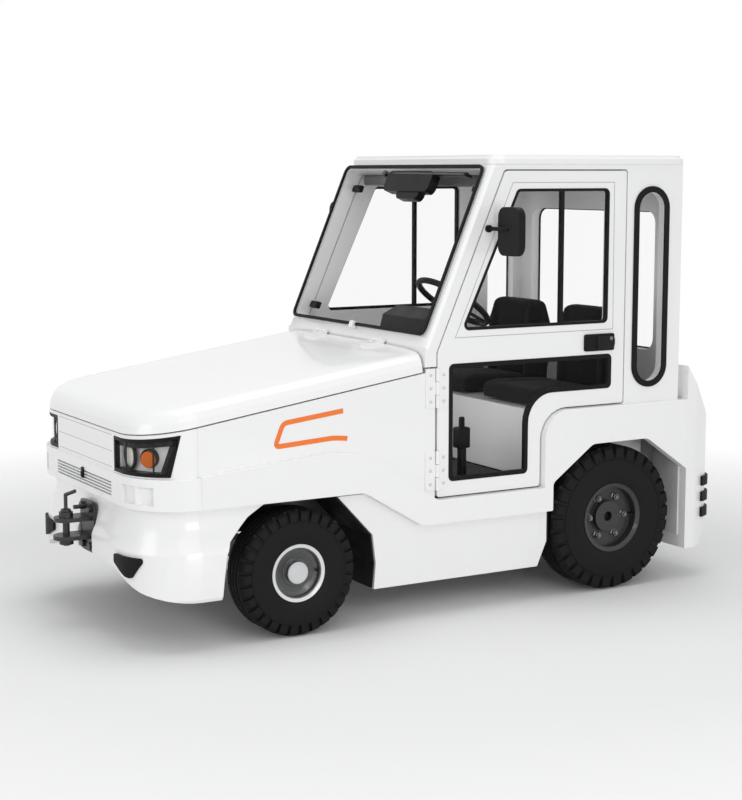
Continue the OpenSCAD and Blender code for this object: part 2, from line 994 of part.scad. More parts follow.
module lid_hinge_fixed() {
    both() {
        lid_barrel(lid_hinge_y - 14, lid_hinge_y + 14);
        block([lid_x - 30, lid_hinge_y - 14, lid_z - 6], [lid_x, lid_hinge_y + 14, lid_z + 6]);
    }
}

module lid_hinge_moving() {
    both() {
        lid_barrel(lid_hinge_y - 46, lid_hinge_y - 14.5);
        lid_barrel(lid_hinge_y + 14.5, lid_hinge_y + 46);
        block([bonnet_rear + 1, lid_hinge_y - 46, lid_z - 40], [bonnet_rear + 76, lid_hinge_y + 46, lid_z - 9]);
        for (y = [lid_hinge_y - 46, lid_hinge_y + 15])
            block([lid_x, y, lid_z - 9.5], [bonnet_rear + 30, y + 31, lid_z]);
    }
}

function lid_ring(d, h) =
    [for (q = nose_ring(nose_x - upper_front - d, cab_y - d, max(nose_r - upper_front - d, 60), bonnet_rear))
        [q.x, q.y, seam(q.x) + h]];

function lid_ring_in(d, h) =
    [for (q = nose_ring(nose_x - upper_front - d, cab_y - d, max(nose_r - upper_front - d, 40), bonnet_rear + 24))
        [q.x, q.y, seam(q.x) + h]];

module bonnet() {
    color(white)
        place()
            difference() {
                loft([lid_ring(0, 0), lid_ring(6, 30), lid_ring(18, 58), lid_ring(38, lid_h - 8),
                    lid_ring(60, lid_h), lid_ring(140, lid_h + 7), lid_ring(300, lid_h + 12)]);
                loft([lid_ring_in(30, -1), lid_ring_in(38, 30), lid_ring_in(80, lid_h - 30)]);
            }
    color(white)
        place()
            lid_hinge_moving();
}

// Doors

// Edges of the sliding window and of the lower pane in the door
window_low = screen_z + 25;
window_high = door_high - 78;
window_front = -(door_front + 121);
window_tip = screen_at(door_high) - 153;
window_rear = -(door_rear - 96);
window_lean = atan2(window_front - window_tip, window_high - window_low);
slant_low = (1 + sin(window_lean)) / cos(window_lean);
slant_high = (1 - sin(window_lean)) / cos(window_lean);
pane_front = -(door_front + 59);
pane_step = -(door_step - 68);
pane_rear = -(door_rear - 70);
pane_low = door_low + 64;
pane_mid = fender_top + 78;
pane_high = screen_z - 117;

module window_plan(d) {
    polygon(rounded([[window_front + d * slant_low, window_low - d, 26 + d],
        [window_tip + d * slant_high, window_high + d, 26 + d], [window_rear - d, window_high + d, 26 + d],
        [window_rear - d, window_low - d, 26 + d]]));
}

module pane_plan(d) {
    polygon(rounded([[pane_front + d, pane_low - d, 24 + d], [pane_front + d, pane_high + d, 24 + d],
        [pane_rear - d, pane_high + d, 24 + d], [pane_rear - d, pane_mid - d, 24 + d],
        [pane_step - d, pane_mid - d, 130 - d], [pane_step - d, pane_low - d, 24 + d]]));
}

module door_l() {
    difference() {
        side(cab_y - door_t, cab_y)
            door_outline(0);
        side(cab_y - door_t - 1, cab_y + 1)
            window_plan(0);
        side(cab_y - door_t - 1, cab_y + 1)
            pane_plan(0);
    }
    for (z = [646, 1008]) {
        block([-door_front - 52, cab_y - 1, z - 86], [-door_front - 4, hinge_y - 4, z + 86]);
        for (s = [z - 86, z + 30]) {
            block([-door_front - 8, cab_y + 3, s], [hinge_x + 2, hinge_y - 4, s + 56]);
            translate([hinge_x, hinge_y, s])
                cylinder(r = 9, h = 56);
        }
    }
}

module door_glass_l() {
    side(cab_y - 24, cab_y - 18)
        window_plan(-0.3);
    side(cab_y - 24, cab_y - 18)
        pane_plan(-0.3);
}

module door_trim_l() {
    side(cab_y - 17.7, cab_y + 2) {
        difference() {
            window_plan(-0.3);
            window_plan(-13);
        }
        translate([(window_tip + window_rear) / 2, window_low + 12])
            square([18, window_high - window_low - 22]);
    }
    side(cab_y - 17.7, cab_y + 2)
        difference() {
            pane_plan(-0.3);
            pane_plan(-20);
        }
    side(cab_y + 0.3, cab_y + 16)
        translate([-door_rear + 145, pane_high + 55])
            pill(165, 46, 14);
}

// Front edge of the door at a height beside the windscreen
function door_edge(z) =
    let (t = (z - screen_z + 65) / (door_high - screen_z + 65))
    -door_front + t * (screen_at(door_high) - 87 + door_front);

// Foot of the mirror arm on the door's frame
mirror_z = door_high - 250;
mirror_x = door_edge(mirror_z) - 21;

module mirror_l() {
    translate([mirror_x, cab_y, mirror_z]) {
        rod_y(16, 0.3, 14);
        rotate([0, 0, 12])
            rod_y(9, 8, 125);
    }
    translate([mirror_x - 55, cab_y + 124.5, mirror_z - 10])
        rotate([90, 0, 90])
            linear_extrude(33)
                pill(161, 210, 45);
}

module mirror_left() {
    color(black)
        place()
            mirror_l();
}

module mirror_right() {
    color(black)
        place()
            mirror([0, 1, 0])
                mirror_l();
}

module door_left() {
    color(white)
        place()
            door_l();
}

module door_right() {
    color(white)
        place()
            mirror([0, 1, 0])
                door_l();
}

module door_left_glass() {
    color(glass)
        place()
            door_glass_l();
}

module door_right_glass() {
    color(glass)
        place()
            mirror([0, 1, 0])
                door_glass_l();
}

module door_left_trim() {
    color(black)
        place()
            door_trim_l();
}

module door_right_trim() {
    color(black)
        place()
            mirror([0, 1, 0])
                door_trim_l();
}

// Steering and wheels

// Place of the tie rod's eye on the left steering arm
eye_x = -150;
eye_y = king_y;

module knuckle_l() {
    translate([0, king_y, front_z]) {
        difference() {
            union() {
                translate([0, 0, -40])
                    cylinder(r = 34, h = 80);
                rod_y(22, 10, front_wheel_y - king_y + 40);
                rod_y(34, 10, king_offset - 26);
                hull() {
                    translate([0, 0, -38])
                        cylinder(r = 16, h = 18);
                    translate([eye_x, eye_y - king_y, -38])
                        cylinder(r = 16, h = 18);
                }
            }
            translate([0, 0, -50])
                cylinder(r = 15.1, h = 100);
            translate([eye_x, eye_y - king_y, -50])
                cylinder(r = 8.1, h = 40);
        }
    }
}

module knuckle_left() {
    color(dark)
        place()
            knuckle_l();
}

module knuckle_right() {
    color(dark)
        place()
            mirror([0, 1, 0])
                knuckle_l();
}

module tie_rod() {
    color(dark)
        place()
            translate([eye_x, 0, front_z - 38]) {
                both() {
                    translate([0, eye_y, -22])
                        cylinder(r = 8, h = 38);
                    translate([0, eye_y, -24])
                        cylinder(r = 16, h = 18);
                }
                translate([0, 0, -15])
                    rod_y(9, -eye_y, eye_y);
            }
}

// Lugs round each shoulder of a tyre, and the share of the pitch that the notch between two takes
lugs = 30;
notch = 0.34;

// Tyre section as radius and width, from a bead over the tread to the other bead, at a lug or in a notch
function tyre_section(d, w, rim, cut) =
    let (half = [[rim / 2 + 9.7, w * 0.44], [rim / 2 + (d - rim) * 0.26, w / 2],
            [d / 2 - 15 - 26 * cut, w * (0.485 - 0.05 * cut)], [d / 2, w * 0.34]])
    [for (q = half) [q.x, -q.y], for (i = [3:-1:0]) half[i]];

// Tyre skinned over sections at both ends of each lug and in the middle of each notch
module tyre_ring(d, w, rim) {
    at = [for (k = [0:lugs - 1]) each [[k + notch / 2, 0], [k + 1 - notch / 2, 0], [k + 1, 1]]];
    m = 8;
    n = len(at);
    pts = [for (t = at)
        let (a = 360 * (t[0] + 0.5) / lugs)
        for (q = tyre_section(d, w, rim, t[1])) [q.x * cos(a), q.y, q.x * sin(a)]];
    faces = [for (j = [0:n - 1]) for (i = [0:m - 1])
        let (p = j * m + i,
             q = j * m + (i + 1) % m,
             u = ((j + 1) % n) * m + i,
             v = ((j + 1) % n) * m + (i + 1) % m)
        each [[p, q, v], [p, v, u]]];
    polyhedron(pts, faces, convexity = 10);
}

module front_tyre_l() {
    translate([0, front_wheel_y, front_z])
        tyre_ring(front_tyre_d, front_tyre_w, front_rim_d);
}

module rear_tyre_l() {
    translate([-wheelbase, rear_wheel_y, rear_z])
        tyre_ring(rear_tyre_d, rear_tyre_w, rear_rim_d);
}

// Rim turned about Y: barrel, dished disc and hub with a bore for the spindle
module rim_ring(d, w, dish, hub, bore, cap, eye) {
    rotate([-90, 0, 0])
        rotate_extrude($fn = 96)
            polygon([[bore, -w * 0.1], [hub, -w * 0.1], [hub, dish - 12], [d / 2 - 14, dish - 6],
                [d / 2 - 14, -w * 0.42], [d / 2 + 9, -w * 0.46], [d / 2 + 9, -w * 0.44], [d / 2, -w * 0.36],
                [d / 2, w * 0.36], [d / 2 + 9, w * 0.44], [d / 2 + 9, w * 0.46], [d / 2 - 12, w * 0.42],
                [d / 2 - 12, dish + 8], [hub, dish], [hub, dish + cap],
                each (eye < bore
                    ? [[eye, dish + cap], [eye, dish + cap - 12], [bore, dish + cap - 12]]
                    : [[bore, dish + cap]])]);
}

module front_rim_l() {
    translate([0, front_wheel_y, front_z]) {
        rim_ring(front_rim_d, front_tyre_w, 38, 62, 22.1, 4, 22.1);
        rod_y(46, 40.5, 62);
    }
}

module rear_rim_l() {
    translate([-wheelbase, rear_wheel_y, rear_z])
        rim_ring(rear_rim_d, rear_tyre_w, 30, 72, 30.1, 24, 22);
}

module tyre_front_left() {
    color(black)
        place()
            front_tyre_l();
}

module rim_front_left() {
    color(grey)
        place()
            front_rim_l();
}

module tyre_front_right() {
    color(black)
        place()
            mirror([0, 1, 0])
                front_tyre_l();
}

module rim_front_right() {
    color(grey)
        place()
            mirror([0, 1, 0])
                front_rim_l();
}

module tyre_rear_left() {
    color(black)
        place()
            rear_tyre_l();
}

module rim_rear_left() {
    color(dark)
        place()
            rear_rim_l();
}

module tyre_rear_right() {
    color(black)
        place()
            mirror([0, 1, 0])
                rear_tyre_l();
}

module rim_rear_right() {
    color(dark)
        place()
            mirror([0, 1, 0])
                rear_rim_l();
}

frame_rails();
floor_pan();
front_bumper();
nose_panel();
side_body_left();
side_body_right();
skirts();
wheel_liners();
tail_body();
rubber_buffers();
headlamp_bezels();
headlamp_lenses();
headlamps();
indicators();
tail_lamps();
battery_block();
cab_frame();
roof();
windscreen();
cab_windows();
window_seals();
wiper();
dashboard();
steering_column();
seat_box();
seats();
front_hitch();
rear_hitch();
front_axle();
rear_axle();
bonnet();
door_left();
door_left_glass();
door_left_trim();
mirror_left();
door_right();
door_right_glass();
door_right_trim();
mirror_right();
steering_wheel();
knuckle_left();
knuckle_right();
tie_rod();
tyre_front_left();
rim_front_left();
tyre_front_right();
rim_front_right();
tyre_rear_left();
rim_rear_left();
tyre_rear_right();
rim_rear_right();
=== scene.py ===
# %% [markdown]
# # An electric baggage tug
# The CAD model gives every solid of the tug at its true size. This script dresses it: painted
# panels get soft pressed edges, the seats become padded cushions, and screws, nuts, seals and
# lamps are added where the real vehicle has them. Pieces are drawn in millimetres from the front
# axle, as in the CAD source, and `at` turns such a point into Blender's metres. The axle stands
# `AXLE` metres ahead of the frame's origin.

import json
import math

import bmesh
import bpy
from mathutils import Matrix, Vector


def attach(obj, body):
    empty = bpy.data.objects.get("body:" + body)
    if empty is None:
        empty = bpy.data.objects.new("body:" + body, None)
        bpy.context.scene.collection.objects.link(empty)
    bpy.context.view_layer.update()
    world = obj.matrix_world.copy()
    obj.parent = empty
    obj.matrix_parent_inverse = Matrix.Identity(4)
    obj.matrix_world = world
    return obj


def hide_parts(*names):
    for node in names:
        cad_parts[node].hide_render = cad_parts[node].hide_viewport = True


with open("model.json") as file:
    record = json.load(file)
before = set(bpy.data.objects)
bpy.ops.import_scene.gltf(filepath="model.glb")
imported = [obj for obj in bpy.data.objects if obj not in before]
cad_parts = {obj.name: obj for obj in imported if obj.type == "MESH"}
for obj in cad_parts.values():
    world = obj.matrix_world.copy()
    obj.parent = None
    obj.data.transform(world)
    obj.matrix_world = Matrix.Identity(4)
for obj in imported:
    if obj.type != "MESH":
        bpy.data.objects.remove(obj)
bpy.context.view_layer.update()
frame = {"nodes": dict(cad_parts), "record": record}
nodes = frame["nodes"]
AXLE = 0.794


def at(x, y, z):
    return Vector((x / 1000 + AXLE, y / 1000, z / 1000))


# %% [markdown]
# ## Camera
# The photograph was taken from the front left, a little below the roof, with a long lens that
# looks slightly down. The place and the angles come from the vertical and level edges of the
# tug, so that the render and the photograph can be laid over each other.

# %% camera
FOCAL_PIXELS = 1700
FRAME_PIXELS = 800
SENSOR = 36
CAMERA_SPOT = (3226.2, 6809.7, 1936)
LOOK_DOWN = 7.652
LOOK_ROUND = 149.9
camera_data = bpy.data.cameras.new("camera")
camera_data.sensor_width = SENSOR
camera_data.lens = FOCAL_PIXELS * SENSOR / FRAME_PIXELS
camera = bpy.data.objects.new("camera", camera_data)
camera.location = at(*CAMERA_SPOT)
camera.rotation_euler = (math.radians(90 - LOOK_DOWN), 0, math.radians(LOOK_ROUND))
bpy.context.scene.collection.objects.link(camera)
bpy.context.scene.camera = camera
print("lens", round(camera_data.lens, 1), "mm")

# %% [markdown]
# ## Writing shaders as sums
# A shader is a graph, but most of it is arithmetic. `Wire` wraps one output socket, so that
# `1 - mask` or `grain * 0.2` adds the Math nodes by itself.


# %% shader sums
class Wire:
    def __init__(self, finish, socket):
        self.finish = finish
        self.socket = socket

    def math(self, operation, a, b):
        return self.finish.node("ShaderNodeMath", {"operation": operation}, {0: a, 1: b})

    def __add__(self, other):
        return self.math("ADD", self, other)

    def __sub__(self, other):
        return self.math("SUBTRACT", self, other)

    def __rsub__(self, other):
        return self.math("SUBTRACT", other, self)

    def __mul__(self, other):
        return self.math("MULTIPLY", self, other)

    __radd__ = __add__
    __rmul__ = __mul__


print("operators ready: + - *")

# %% [markdown]
# ## A finish and its nodes
# `Finish` holds one material. What is the same all over the surface is set on the shader's own
# sockets, and `feed` links what changes over it. `node` makes any node from its type, its settings
# and its inputs, and the other methods are the few nodes that most finishes of this tug share.
# All of them read Object coordinates, because each mesh lies at its true place in the frame.


# %% finish helper
class Finish:
    def __init__(self, name, color, roughness, metallic=0.0, **plain):
        self.material = bpy.data.materials.new(name)
        self.material.use_nodes = True
        self.tree = self.material.node_tree
        self.shader = self.tree.nodes["Principled BSDF"]
        plain.update(Base_Color=(*color, 1), Roughness=roughness, Metallic=metallic)
        for key, value in plain.items():
            self.shader.inputs[key.replace("_", " ")].default_value = value

    def node(self, kind, settings=None, inputs=None, out=0):
        made = self.tree.nodes.new(kind)
        for key, value in (settings or {}).items():
            setattr(made, key, value)
        for key, value in (inputs or {}).items():
            if isinstance(value, Wire):
                self.tree.links.new(value.socket, made.inputs[key])
            else:
                made.inputs[key].default_value = value
        return Wire(self, made.outputs[out])

    def feed(self, name, wire):
        self.tree.links.new(wire.socket, self.shader.inputs[name])

    def place(self):
        return self.node("ShaderNodeTexCoord", out="Object")

    def along(self, axis, where):
        return self.node("ShaderNodeSeparateXYZ", {}, {0: where}, out=axis)

    def length(self, vector):
        return self.node("ShaderNodeVectorMath", {"operation": "LENGTH"}, {0: vector}, out="Value")

    def noise(self, scale, detail, where):
        inputs = {"Vector": where, "Scale": scale, "Detail": detail}
        return self.node("ShaderNodeTexNoise", {}, inputs)

    def mix(self, factor, a, b):
        a, b = [tone if isinstance(tone, Wire) else (*tone, 1) for tone in (a, b)]
        return self.node("ShaderNodeMix", {"data_type": "RGBA"}, {0: factor, 6: a, 7: b}, out=2)

    def bump(self, height, strength, distance):
        inputs = {"Height": height, "Strength": strength, "Distance": distance}
        self.feed("Normal", self.node("ShaderNodeBump", {}, inputs))

    def ramp(self, wire, start, end, low=0.0, high=1.0):
        span = {"From Min": start, "From Max": end, "To Min": low, "To Max": high}
        return self.node("ShaderNodeMapRange", {}, {"Value": wire, **span})

    def vary(self, noise, low, high):
        return self.ramp(noise, 0.3, 0.7, low, high)


print("finish helper ready")

# %% [markdown]
# ## Paint
# The body is sprayed gloss white over pressed steel. Real paint is never one flat tone: it has
# a fine orange peel that breaks up reflections, and road film gathers towards the wheels. The
# film is a mask that grows from seat height down to the ground, multiplied by a cloudy noise. It
# tints the colour and dulls the gloss with the same mask, as dust does.

# %% paint
FILM_TOP = 0.75
FILM_FULL = 0.12
FILM_TINT = (0.55, 0.53, 0.48)
CHASSIS_TONE = (0.010, 0.010, 0.011)
# painted shade: the dark tone of a front rim's dish stands in for the shade inside the rim
DISH_SHADE = (0.055, 0.056, 0.058)


def painted(name, color, roughness, film, peel=0.03):
    finish = Finish(name, color, roughness, Coat_Weight=0.35, Coat_Roughness=0.08)
    where = finish.place()
    low = finish.ramp(finish.along("Z", where), FILM_TOP, FILM_FULL)
    cloud = finish.vary(finish.noise(7.0, 4.0, where), 0.25, 1.0)
    dull = finish.vary(finish.noise(1.4, 2.0, where), 0.0, 0.012)
    mask = low * cloud * film + dull
    dirt = [c * tint for c, tint in zip(color, FILM_TINT)]
    finish.feed("Base Color", finish.mix(mask, color, dirt))
    finish.feed("Roughness", mask * 1.2 + roughness)
    finish.bump(finish.noise(150.0, 1.0, where), peel, 0.0002)
    return finish.material


BODY_WHITE = painted("gloss white paint", (0.88, 0.88, 0.878), 0.3, 0.04, 0.02)
CAB_GREY = painted("grey cab lining", (0.50, 0.50, 0.49), 0.5, 0.02)
BOX_GREY = painted("pale seat box paint", (0.80, 0.80, 0.795), 0.4, 0.02)
RIM_SILVER = painted("silver rim paint", (0.62, 0.63, 0.64), 0.32, 0.25)
RIM_SHADE = painted("shaded rim dish paint", DISH_SHADE, 0.35, 0.25)
RIM_DARK = painted("dark rim paint", (0.009, 0.0092, 0.0096), 0.5, 0.05)
FRAME_BLACK = painted("satin black chassis paint", CHASSIS_TONE, 0.45, 0.2, 0.04)
BATTERY_GREY = painted("battery case paint", (0.10, 0.105, 0.11), 0.45, 0.1)
ORANGE = painted("orange stripe film", (0.88, 0.175, 0.004), 0.35, 0.02)
# painted shade: grey standing for the shade in seams, grooves and the grille's slots
SEAM_SHADE = painted("shaded seam", (0.42, 0.42, 0.425), 0.5, 0.02)
LINING_GREY = painted("dark roof lining", (0.10, 0.10, 0.102), 0.7, 0.02)
LAMP_WHITE = painted("cream lamp reflector", (0.88, 0.85, 0.76), 0.2, 0.02)
print("paints", BODY_WHITE.name, CAB_GREY.name, RIM_SILVER.name)

# %% [markdown]
# ## Two-tone paint and painted shade
# A front rim has a bright lip round a dish painted dark as the shade inside it, and the black wheel
# arches, whose black also paints the shade inside them, are white low down behind the rear wheel.
# Cutting the meshes along those borders would add seams to them, so the finish finds the border
# itself: on the rim by the distance from the axle, and in the arch by the place along the tug and
# the height.

# %% two-tone paint
FRONT_AXLE_HEIGHT = 0.27
LIP_RADIUS = 0.109
LIP_EDGE = 0.001
WEAR_TONE = (0.3, 0.29, 0.27)
ARCH_BORDER = (-1.10, -1.13)
ARCH_TOP = (0.66, 0.58)


def rim_paint(name, lip, dish):
    finish = Finish(name, lip, 0.3, Coat_Weight=0.3)
    where = finish.place()
    from_axle = {0: where, 1: (1, 0, 1), 2: (-AXLE, 0, -FRONT_AXLE_HEIGHT)}
    across = finish.node("ShaderNodeVectorMath", {"operation": "MULTIPLY_ADD"}, from_axle)
    # painted shade: inside the lip the dish is painted dark as the shade in the rim
    dish_shade_mask = finish.ramp(finish.length(across), LIP_RADIUS, LIP_RADIUS - LIP_EDGE)
    worn = finish.vary(finish.noise(40.0, 3.0, where), 0.0, 0.12)
    tone = finish.mix(dish_shade_mask, lip, dish)
    finish.feed("Base Color", finish.mix(worn, tone, WEAR_TONE))
    finish.feed("Roughness", finish.vary(finish.noise(60.0, 2.0, where), 0.25, 0.38))
    return finish.material


def arch_shade_paint(name, dark, pale):
    finish = Finish(name, dark, 0.6, Specular_IOR_Level=0.2)
    where = finish.place()
    behind = finish.ramp(finish.along("X", where), *ARCH_BORDER)
    low = finish.ramp(finish.along("Z", where), *ARCH_TOP)
    dust = finish.vary(finish.noise(9.0, 4.0, where), 0.8, 1.0)
    # painted shade: the liner's black is partly a black liner and partly the shade inside the arch;
    # low behind the rear wheel it turns white
    finish.feed("Base Color", finish.mix(behind * low * dust, dark, pale))
    finish.feed("Roughness", finish.vary(finish.noise(12.0, 3.0, where), 0.5, 0.7))
    return finish.material


ARCH_SHADE_PAINT = arch_shade_paint("wheel arch, white behind the rear wheel", CHASSIS_TONE, (0.80, 0.80, 0.79))
RIM_FRONT = rim_paint("front rim, bright lip and dark dish", (0.72, 0.73, 0.73), DISH_SHADE)
print("two-tone paints:", ARCH_SHADE_PAINT.name, "and", RIM_FRONT.name)

# %% [markdown]
# ## Rubber and plastic
# Tyres, seals and buffers are carbon black rubber: dark, dull, with a faint brown bloom. The
# moulded plastics carry a fine leather-like grain, which is a small cellular bump.

# %% rubber and plastic
BLOOM = (1.8, 1.75, 1.7)


def grained(name, color, roughness, scale, strength):
    finish = Finish(name, color, roughness, Specular_IOR_Level=0.14)
    where = finish.place()
    cloud = finish.noise(9.0, 6.0, where)
    pale = [min(1, c * bloom + 0.004) for c, bloom in zip(color, BLOOM)]
    finish.feed("Base Color", finish.mix(finish.vary(cloud, 0.0, 0.25), color, pale))
    finish.feed("Roughness", finish.vary(cloud, roughness - 0.07, roughness + 0.08))
    cells = finish.node("ShaderNodeTexVoronoi", {}, {"Vector": where, "Scale": scale})
    finish.bump(cells, strength, 0.0006)
    return finish.material


TYRE_RUBBER = grained("tyre rubber", (0.007, 0.007, 0.0075), 0.62, 500, 0.12)
SEAL_RUBBER = grained("seal rubber", (0.005, 0.005, 0.0055), 0.55, 700, 0.08)
BLACK_PLASTIC = grained("black grained plastic", (0.006, 0.006, 0.0065), 0.42, 900, 0.14)
FLOOR_MAT = grained("ribbed floor mat", (0.045, 0.046, 0.048), 0.8, 260, 0.4)
SATIN_BLACK = grained("satin black plastic", (0.010, 0.010, 0.0105), 0.3, 1200, 0.05)
AMBER = grained("amber lamp plastic", (0.60, 0.125, 0.008), 0.18, 260, 0.12)
RED_LENS = grained("red lamp plastic", (0.45, 0.012, 0.012), 0.18, 260, 0.12)
print("rubbers and plastics ready")

# %% [markdown]
# ## Glass, metal and cloth
# The panes are clear safety glass. A low alpha keeps them as invisible as in a studio photograph
# and lets light into the cab. Plated metal only needs fine scratches in its gloss. The seats are
# covered in a coarse woven cloth, drawn by two waves that cross.


# %% glass, metal and cloth
def clear(name, color, alpha):
    finish = Finish(name, color, 0.04, Alpha=alpha)
    smear = finish.noise(4.0, 3.0, finish.place())
    finish.feed("Roughness", finish.vary(smear, 0.02, 0.09))
    return finish.material


def metal(name, color, roughness, scale):
    finish = Finish(name, color, roughness, 1.0)
    scratch = finish.noise(scale, 4.0, finish.place())
    finish.feed("Roughness", finish.vary(scratch, roughness - 0.05, roughness + 0.1))
    finish.bump(scratch, 0.03, 0.0005)
    return finish.material


def woven(name, color, threads=260.0):
    finish = Finish(name, color, 0.9, Specular_IOR_Level=0.15, Sheen_Weight=0.06)
    wave = {"Vector": finish.place(), "Scale": threads}
    warp = finish.node("ShaderNodeTexWave", {"bands_direction": "Y"}, wave, out=1)
    weft = finish.node("ShaderNodeTexWave", {"bands_direction": "Z"}, wave, out=1)
    thread = warp * 0.5 + weft * 0.5
    light = [min(1, c * 1.8 + 0.003) for c in color]
    finish.feed("Base Color", finish.mix(thread, color, light))
    finish.bump(thread, 0.35, 0.0006)
    return finish.material


CAB_GLASS = clear("clear safety glass", (0.03, 0.036, 0.036), 0.018)
LAMP_GLASS = clear("clear lamp cover", (0.10, 0.10, 0.10), 0.07)
CHROME = metal("lamp reflector chrome", (0.86, 0.86, 0.85), 0.12, 60)
MIRROR = metal("mirror silver", (0.9, 0.9, 0.9), 0.07, 20)
DARK_STEEL = metal("dark plated steel", (0.20, 0.20, 0.205), 0.4, 90)
ZINC = metal("zinc plated steel", (0.62, 0.63, 0.64), 0.34, 90)
SEAT_CLOTH = woven("black seat cloth", (0.007, 0.007, 0.008))
print("glass", CAB_GLASS.name, "metal", CHROME.name, "cloth", SEAT_CLOTH.name)

# %% [markdown]
# ## Dressing the CAD nodes
# Most CAD solids already have the right form, so they stay and only change their clothes. Each
# gets the finish that its slot in the record names, and four get a finish of their own.

# %% dress the nodes
BY_SLOT = {
    "body_paint": BODY_WHITE,
    "black_steel": FRAME_BLACK,
    "floor_mat": FLOOR_MAT,
    "rubber": SEAL_RUBBER,
    "black_plastic": BLACK_PLASTIC,
    "lamp_glass": LAMP_GLASS,
    "lamp_chrome": CHROME,
    "amber": AMBER,
    "red_lens": RED_LENS,
    "battery_case": BATTERY_GREY,
    "glass": CAB_GLASS,
    "grey_trim": CAB_GREY,
    "seat_cloth": SEAT_CLOTH,
    "tyre": TYRE_RUBBER,
    "silver_rim": RIM_SILVER,
    "dark_rim": RIM_DARK,
}
BY_NODE = {
    "seat_box": BOX_GREY,
    "wheel_liners": ARCH_SHADE_PAINT,
    "rim_front_left": RIM_FRONT,
    "rim_front_right": RIM_FRONT,
}
slot_of = {s["node"]: s["material_slot"] for s in frame["record"]["subparts"]}
bodies = frame["record"]["behaviour"]["bodies"]
body_of = {node: body for body, names in bodies.items() for node in names}
for name, obj in nodes.items():
    obj.data.materials.clear()
    obj.data.materials.append(BY_NODE.get(name, BY_SLOT[slot_of[name]]))
print("dressed", len(nodes), "nodes")

# %% [markdown]
# ## Pressed edges
# A solid straight from CAD has knife edges, and knife edges catch no light. Sheet steel is bent
# round a radius, so each painted panel is copied, its loose triangles are merged, flat areas are
# dissolved back to single faces, and a small bevel rounds every edge sharper than `EDGE_ANGLE`.

# %% soften the panels
EDGE_ANGLE = math.radians(24)
FLAT_ANGLE = math.radians(0.6)
WELD = 2e-5


def link(name, mesh):
    obj = bpy.data.objects.new(name, mesh)
    bpy.context.scene.collection.objects.link(obj)
    return obj


def soften(node, radius):
    mesh = nodes[node].data.copy()
    work = bmesh.new()
    work.from_mesh(mesh)
    bmesh.ops.remove_doubles(work, verts=work.verts, dist=WELD)
    bmesh.ops.dissolve_limit(work, angle_limit=FLAT_ANGLE, verts=work.verts, edges=work.edges)
    work.to_mesh(mesh)
    work.free()
    piece = link("soft_" + node, mesh)
    mesh.shade_smooth()
    mesh.set_sharp_from_angle(angle=EDGE_ANGLE)
    edge = piece.modifiers.new("edge", "BEVEL")
    edge.width = radius / 1000
    edge.segments = 3
    edge.limit_method = "ANGLE"
    edge.angle_limit = EDGE_ANGLE
    edge.harden_normals = True
    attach(piece, body_of[node])
    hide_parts(node)


PANELS = {
    "front_bumper": 6,
    "nose_panel": 4,
    "side_body_left": 5,
    "side_body_right": 5,
    "skirts": 6,
    "tail_body": 8,
    "cab_frame": 4,
    "roof": 6,
    "bonnet": 3,
    "door_left": 3,
    "door_right": 3,
    "rubber_buffers": 4,
    "front_hitch": 2,
    "rear_hitch": 2,
    "mirror_left": 8,
    "mirror_right": 8,
    "wiper": 5,
    "dashboard": 6,
    "seat_box": 5,
    "headlamp_bezels": 2,
    "tail_lamps": 4,
    "indicators": 3,
    "rim_front_left": 1.5,
    "rim_front_right": 1.5,
    "rim_rear_left": 1.5,
    "rim_rear_right": 1.5,
}
for node, radius in PANELS.items():
    soften(node, radius)
print("softened", len(PANELS), "panels")

# %% [markdown]
# ## Placing added pieces
# Every added piece is drawn in millimetres in a plane of its own and then carried to its place.
# `facing` gives that place: its Z looks out of the surface and its Y points up. `put` turns a
# bmesh into a piece, and `keep` gives a mesh its finish and its body, and hides the CAD nodes
# that it stands for.

# %% placing pieces
TO_METRES = Matrix.Scale(0.001, 4)
TO_MILLIMETRES = Matrix.Scale(1000, 4)


def facing(origin, out, up=(0, 0, 1)):
    z = Vector(out).normalized()
    x = Vector(up).cross(z).normalized()
    y = z.cross(x)
    turn = Matrix((x, y, z)).transposed().to_4x4()
    return Matrix.Translation(origin) @ turn @ TO_METRES


def closed_mesh(work, name):
    bmesh.ops.recalc_face_normals(work, faces=work.faces)
    mesh = bpy.data.meshes.new(name)
    work.to_mesh(mesh)
    work.free()
    return mesh


def keep(name, mesh, finish, body, slot, *stands_for, smooth=35):
    mesh.materials.clear()
    mesh.materials.append(finish)
    mesh.shade_smooth()
    mesh.set_sharp_from_angle(angle=math.radians(smooth))
    piece = link(name, mesh)
    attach(piece, body)
    if stands_for:
        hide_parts(*stands_for)
    return piece


def put(name, work, *rest, **more):
    keep(name, closed_mesh(work, name), *rest, **more)


print("piece helpers ready")

# %% [markdown]
# ## Forms made of rings
# Most small parts are rings of points joined by faces: a turned form, a hoop or a bent tube. One
# function joins the rings, and each maker only says where its rings lie.


# %% ring forms
def bridge(work, rows):
    n = len(rows[0])
    for low, high in zip(rows, rows[1:]):
        for i in range(n):
            work.faces.new((low[i], low[(i + 1) % n], high[(i + 1) % n], high[i]))


def rings(work, loops, place, closed=False):
    rows = [[work.verts.new(place @ Vector(p)) for p in loop] for loop in loops]
    bridge(work, rows + rows[:1] if closed else rows)
    if not closed:
        work.faces.new(rows[0][::-1])
        work.faces.new(rows[-1])


def circles(profile, steps):
    angles = [2 * math.pi * i / steps for i in range(steps)]
    return [[(r * math.cos(a), r * math.sin(a), h) for a in angles] for r, h in profile]


def turned(work, profile, place, steps=48):
    rings(work, circles(profile, steps), place)


def hoop(work, profile, place, steps=56):
    rings(work, circles(profile, steps), place, closed=True)


def heading(path, i):
    return (path[min(i + 1, len(path) - 1)] - path[max(i - 1, 0)]).normalized()


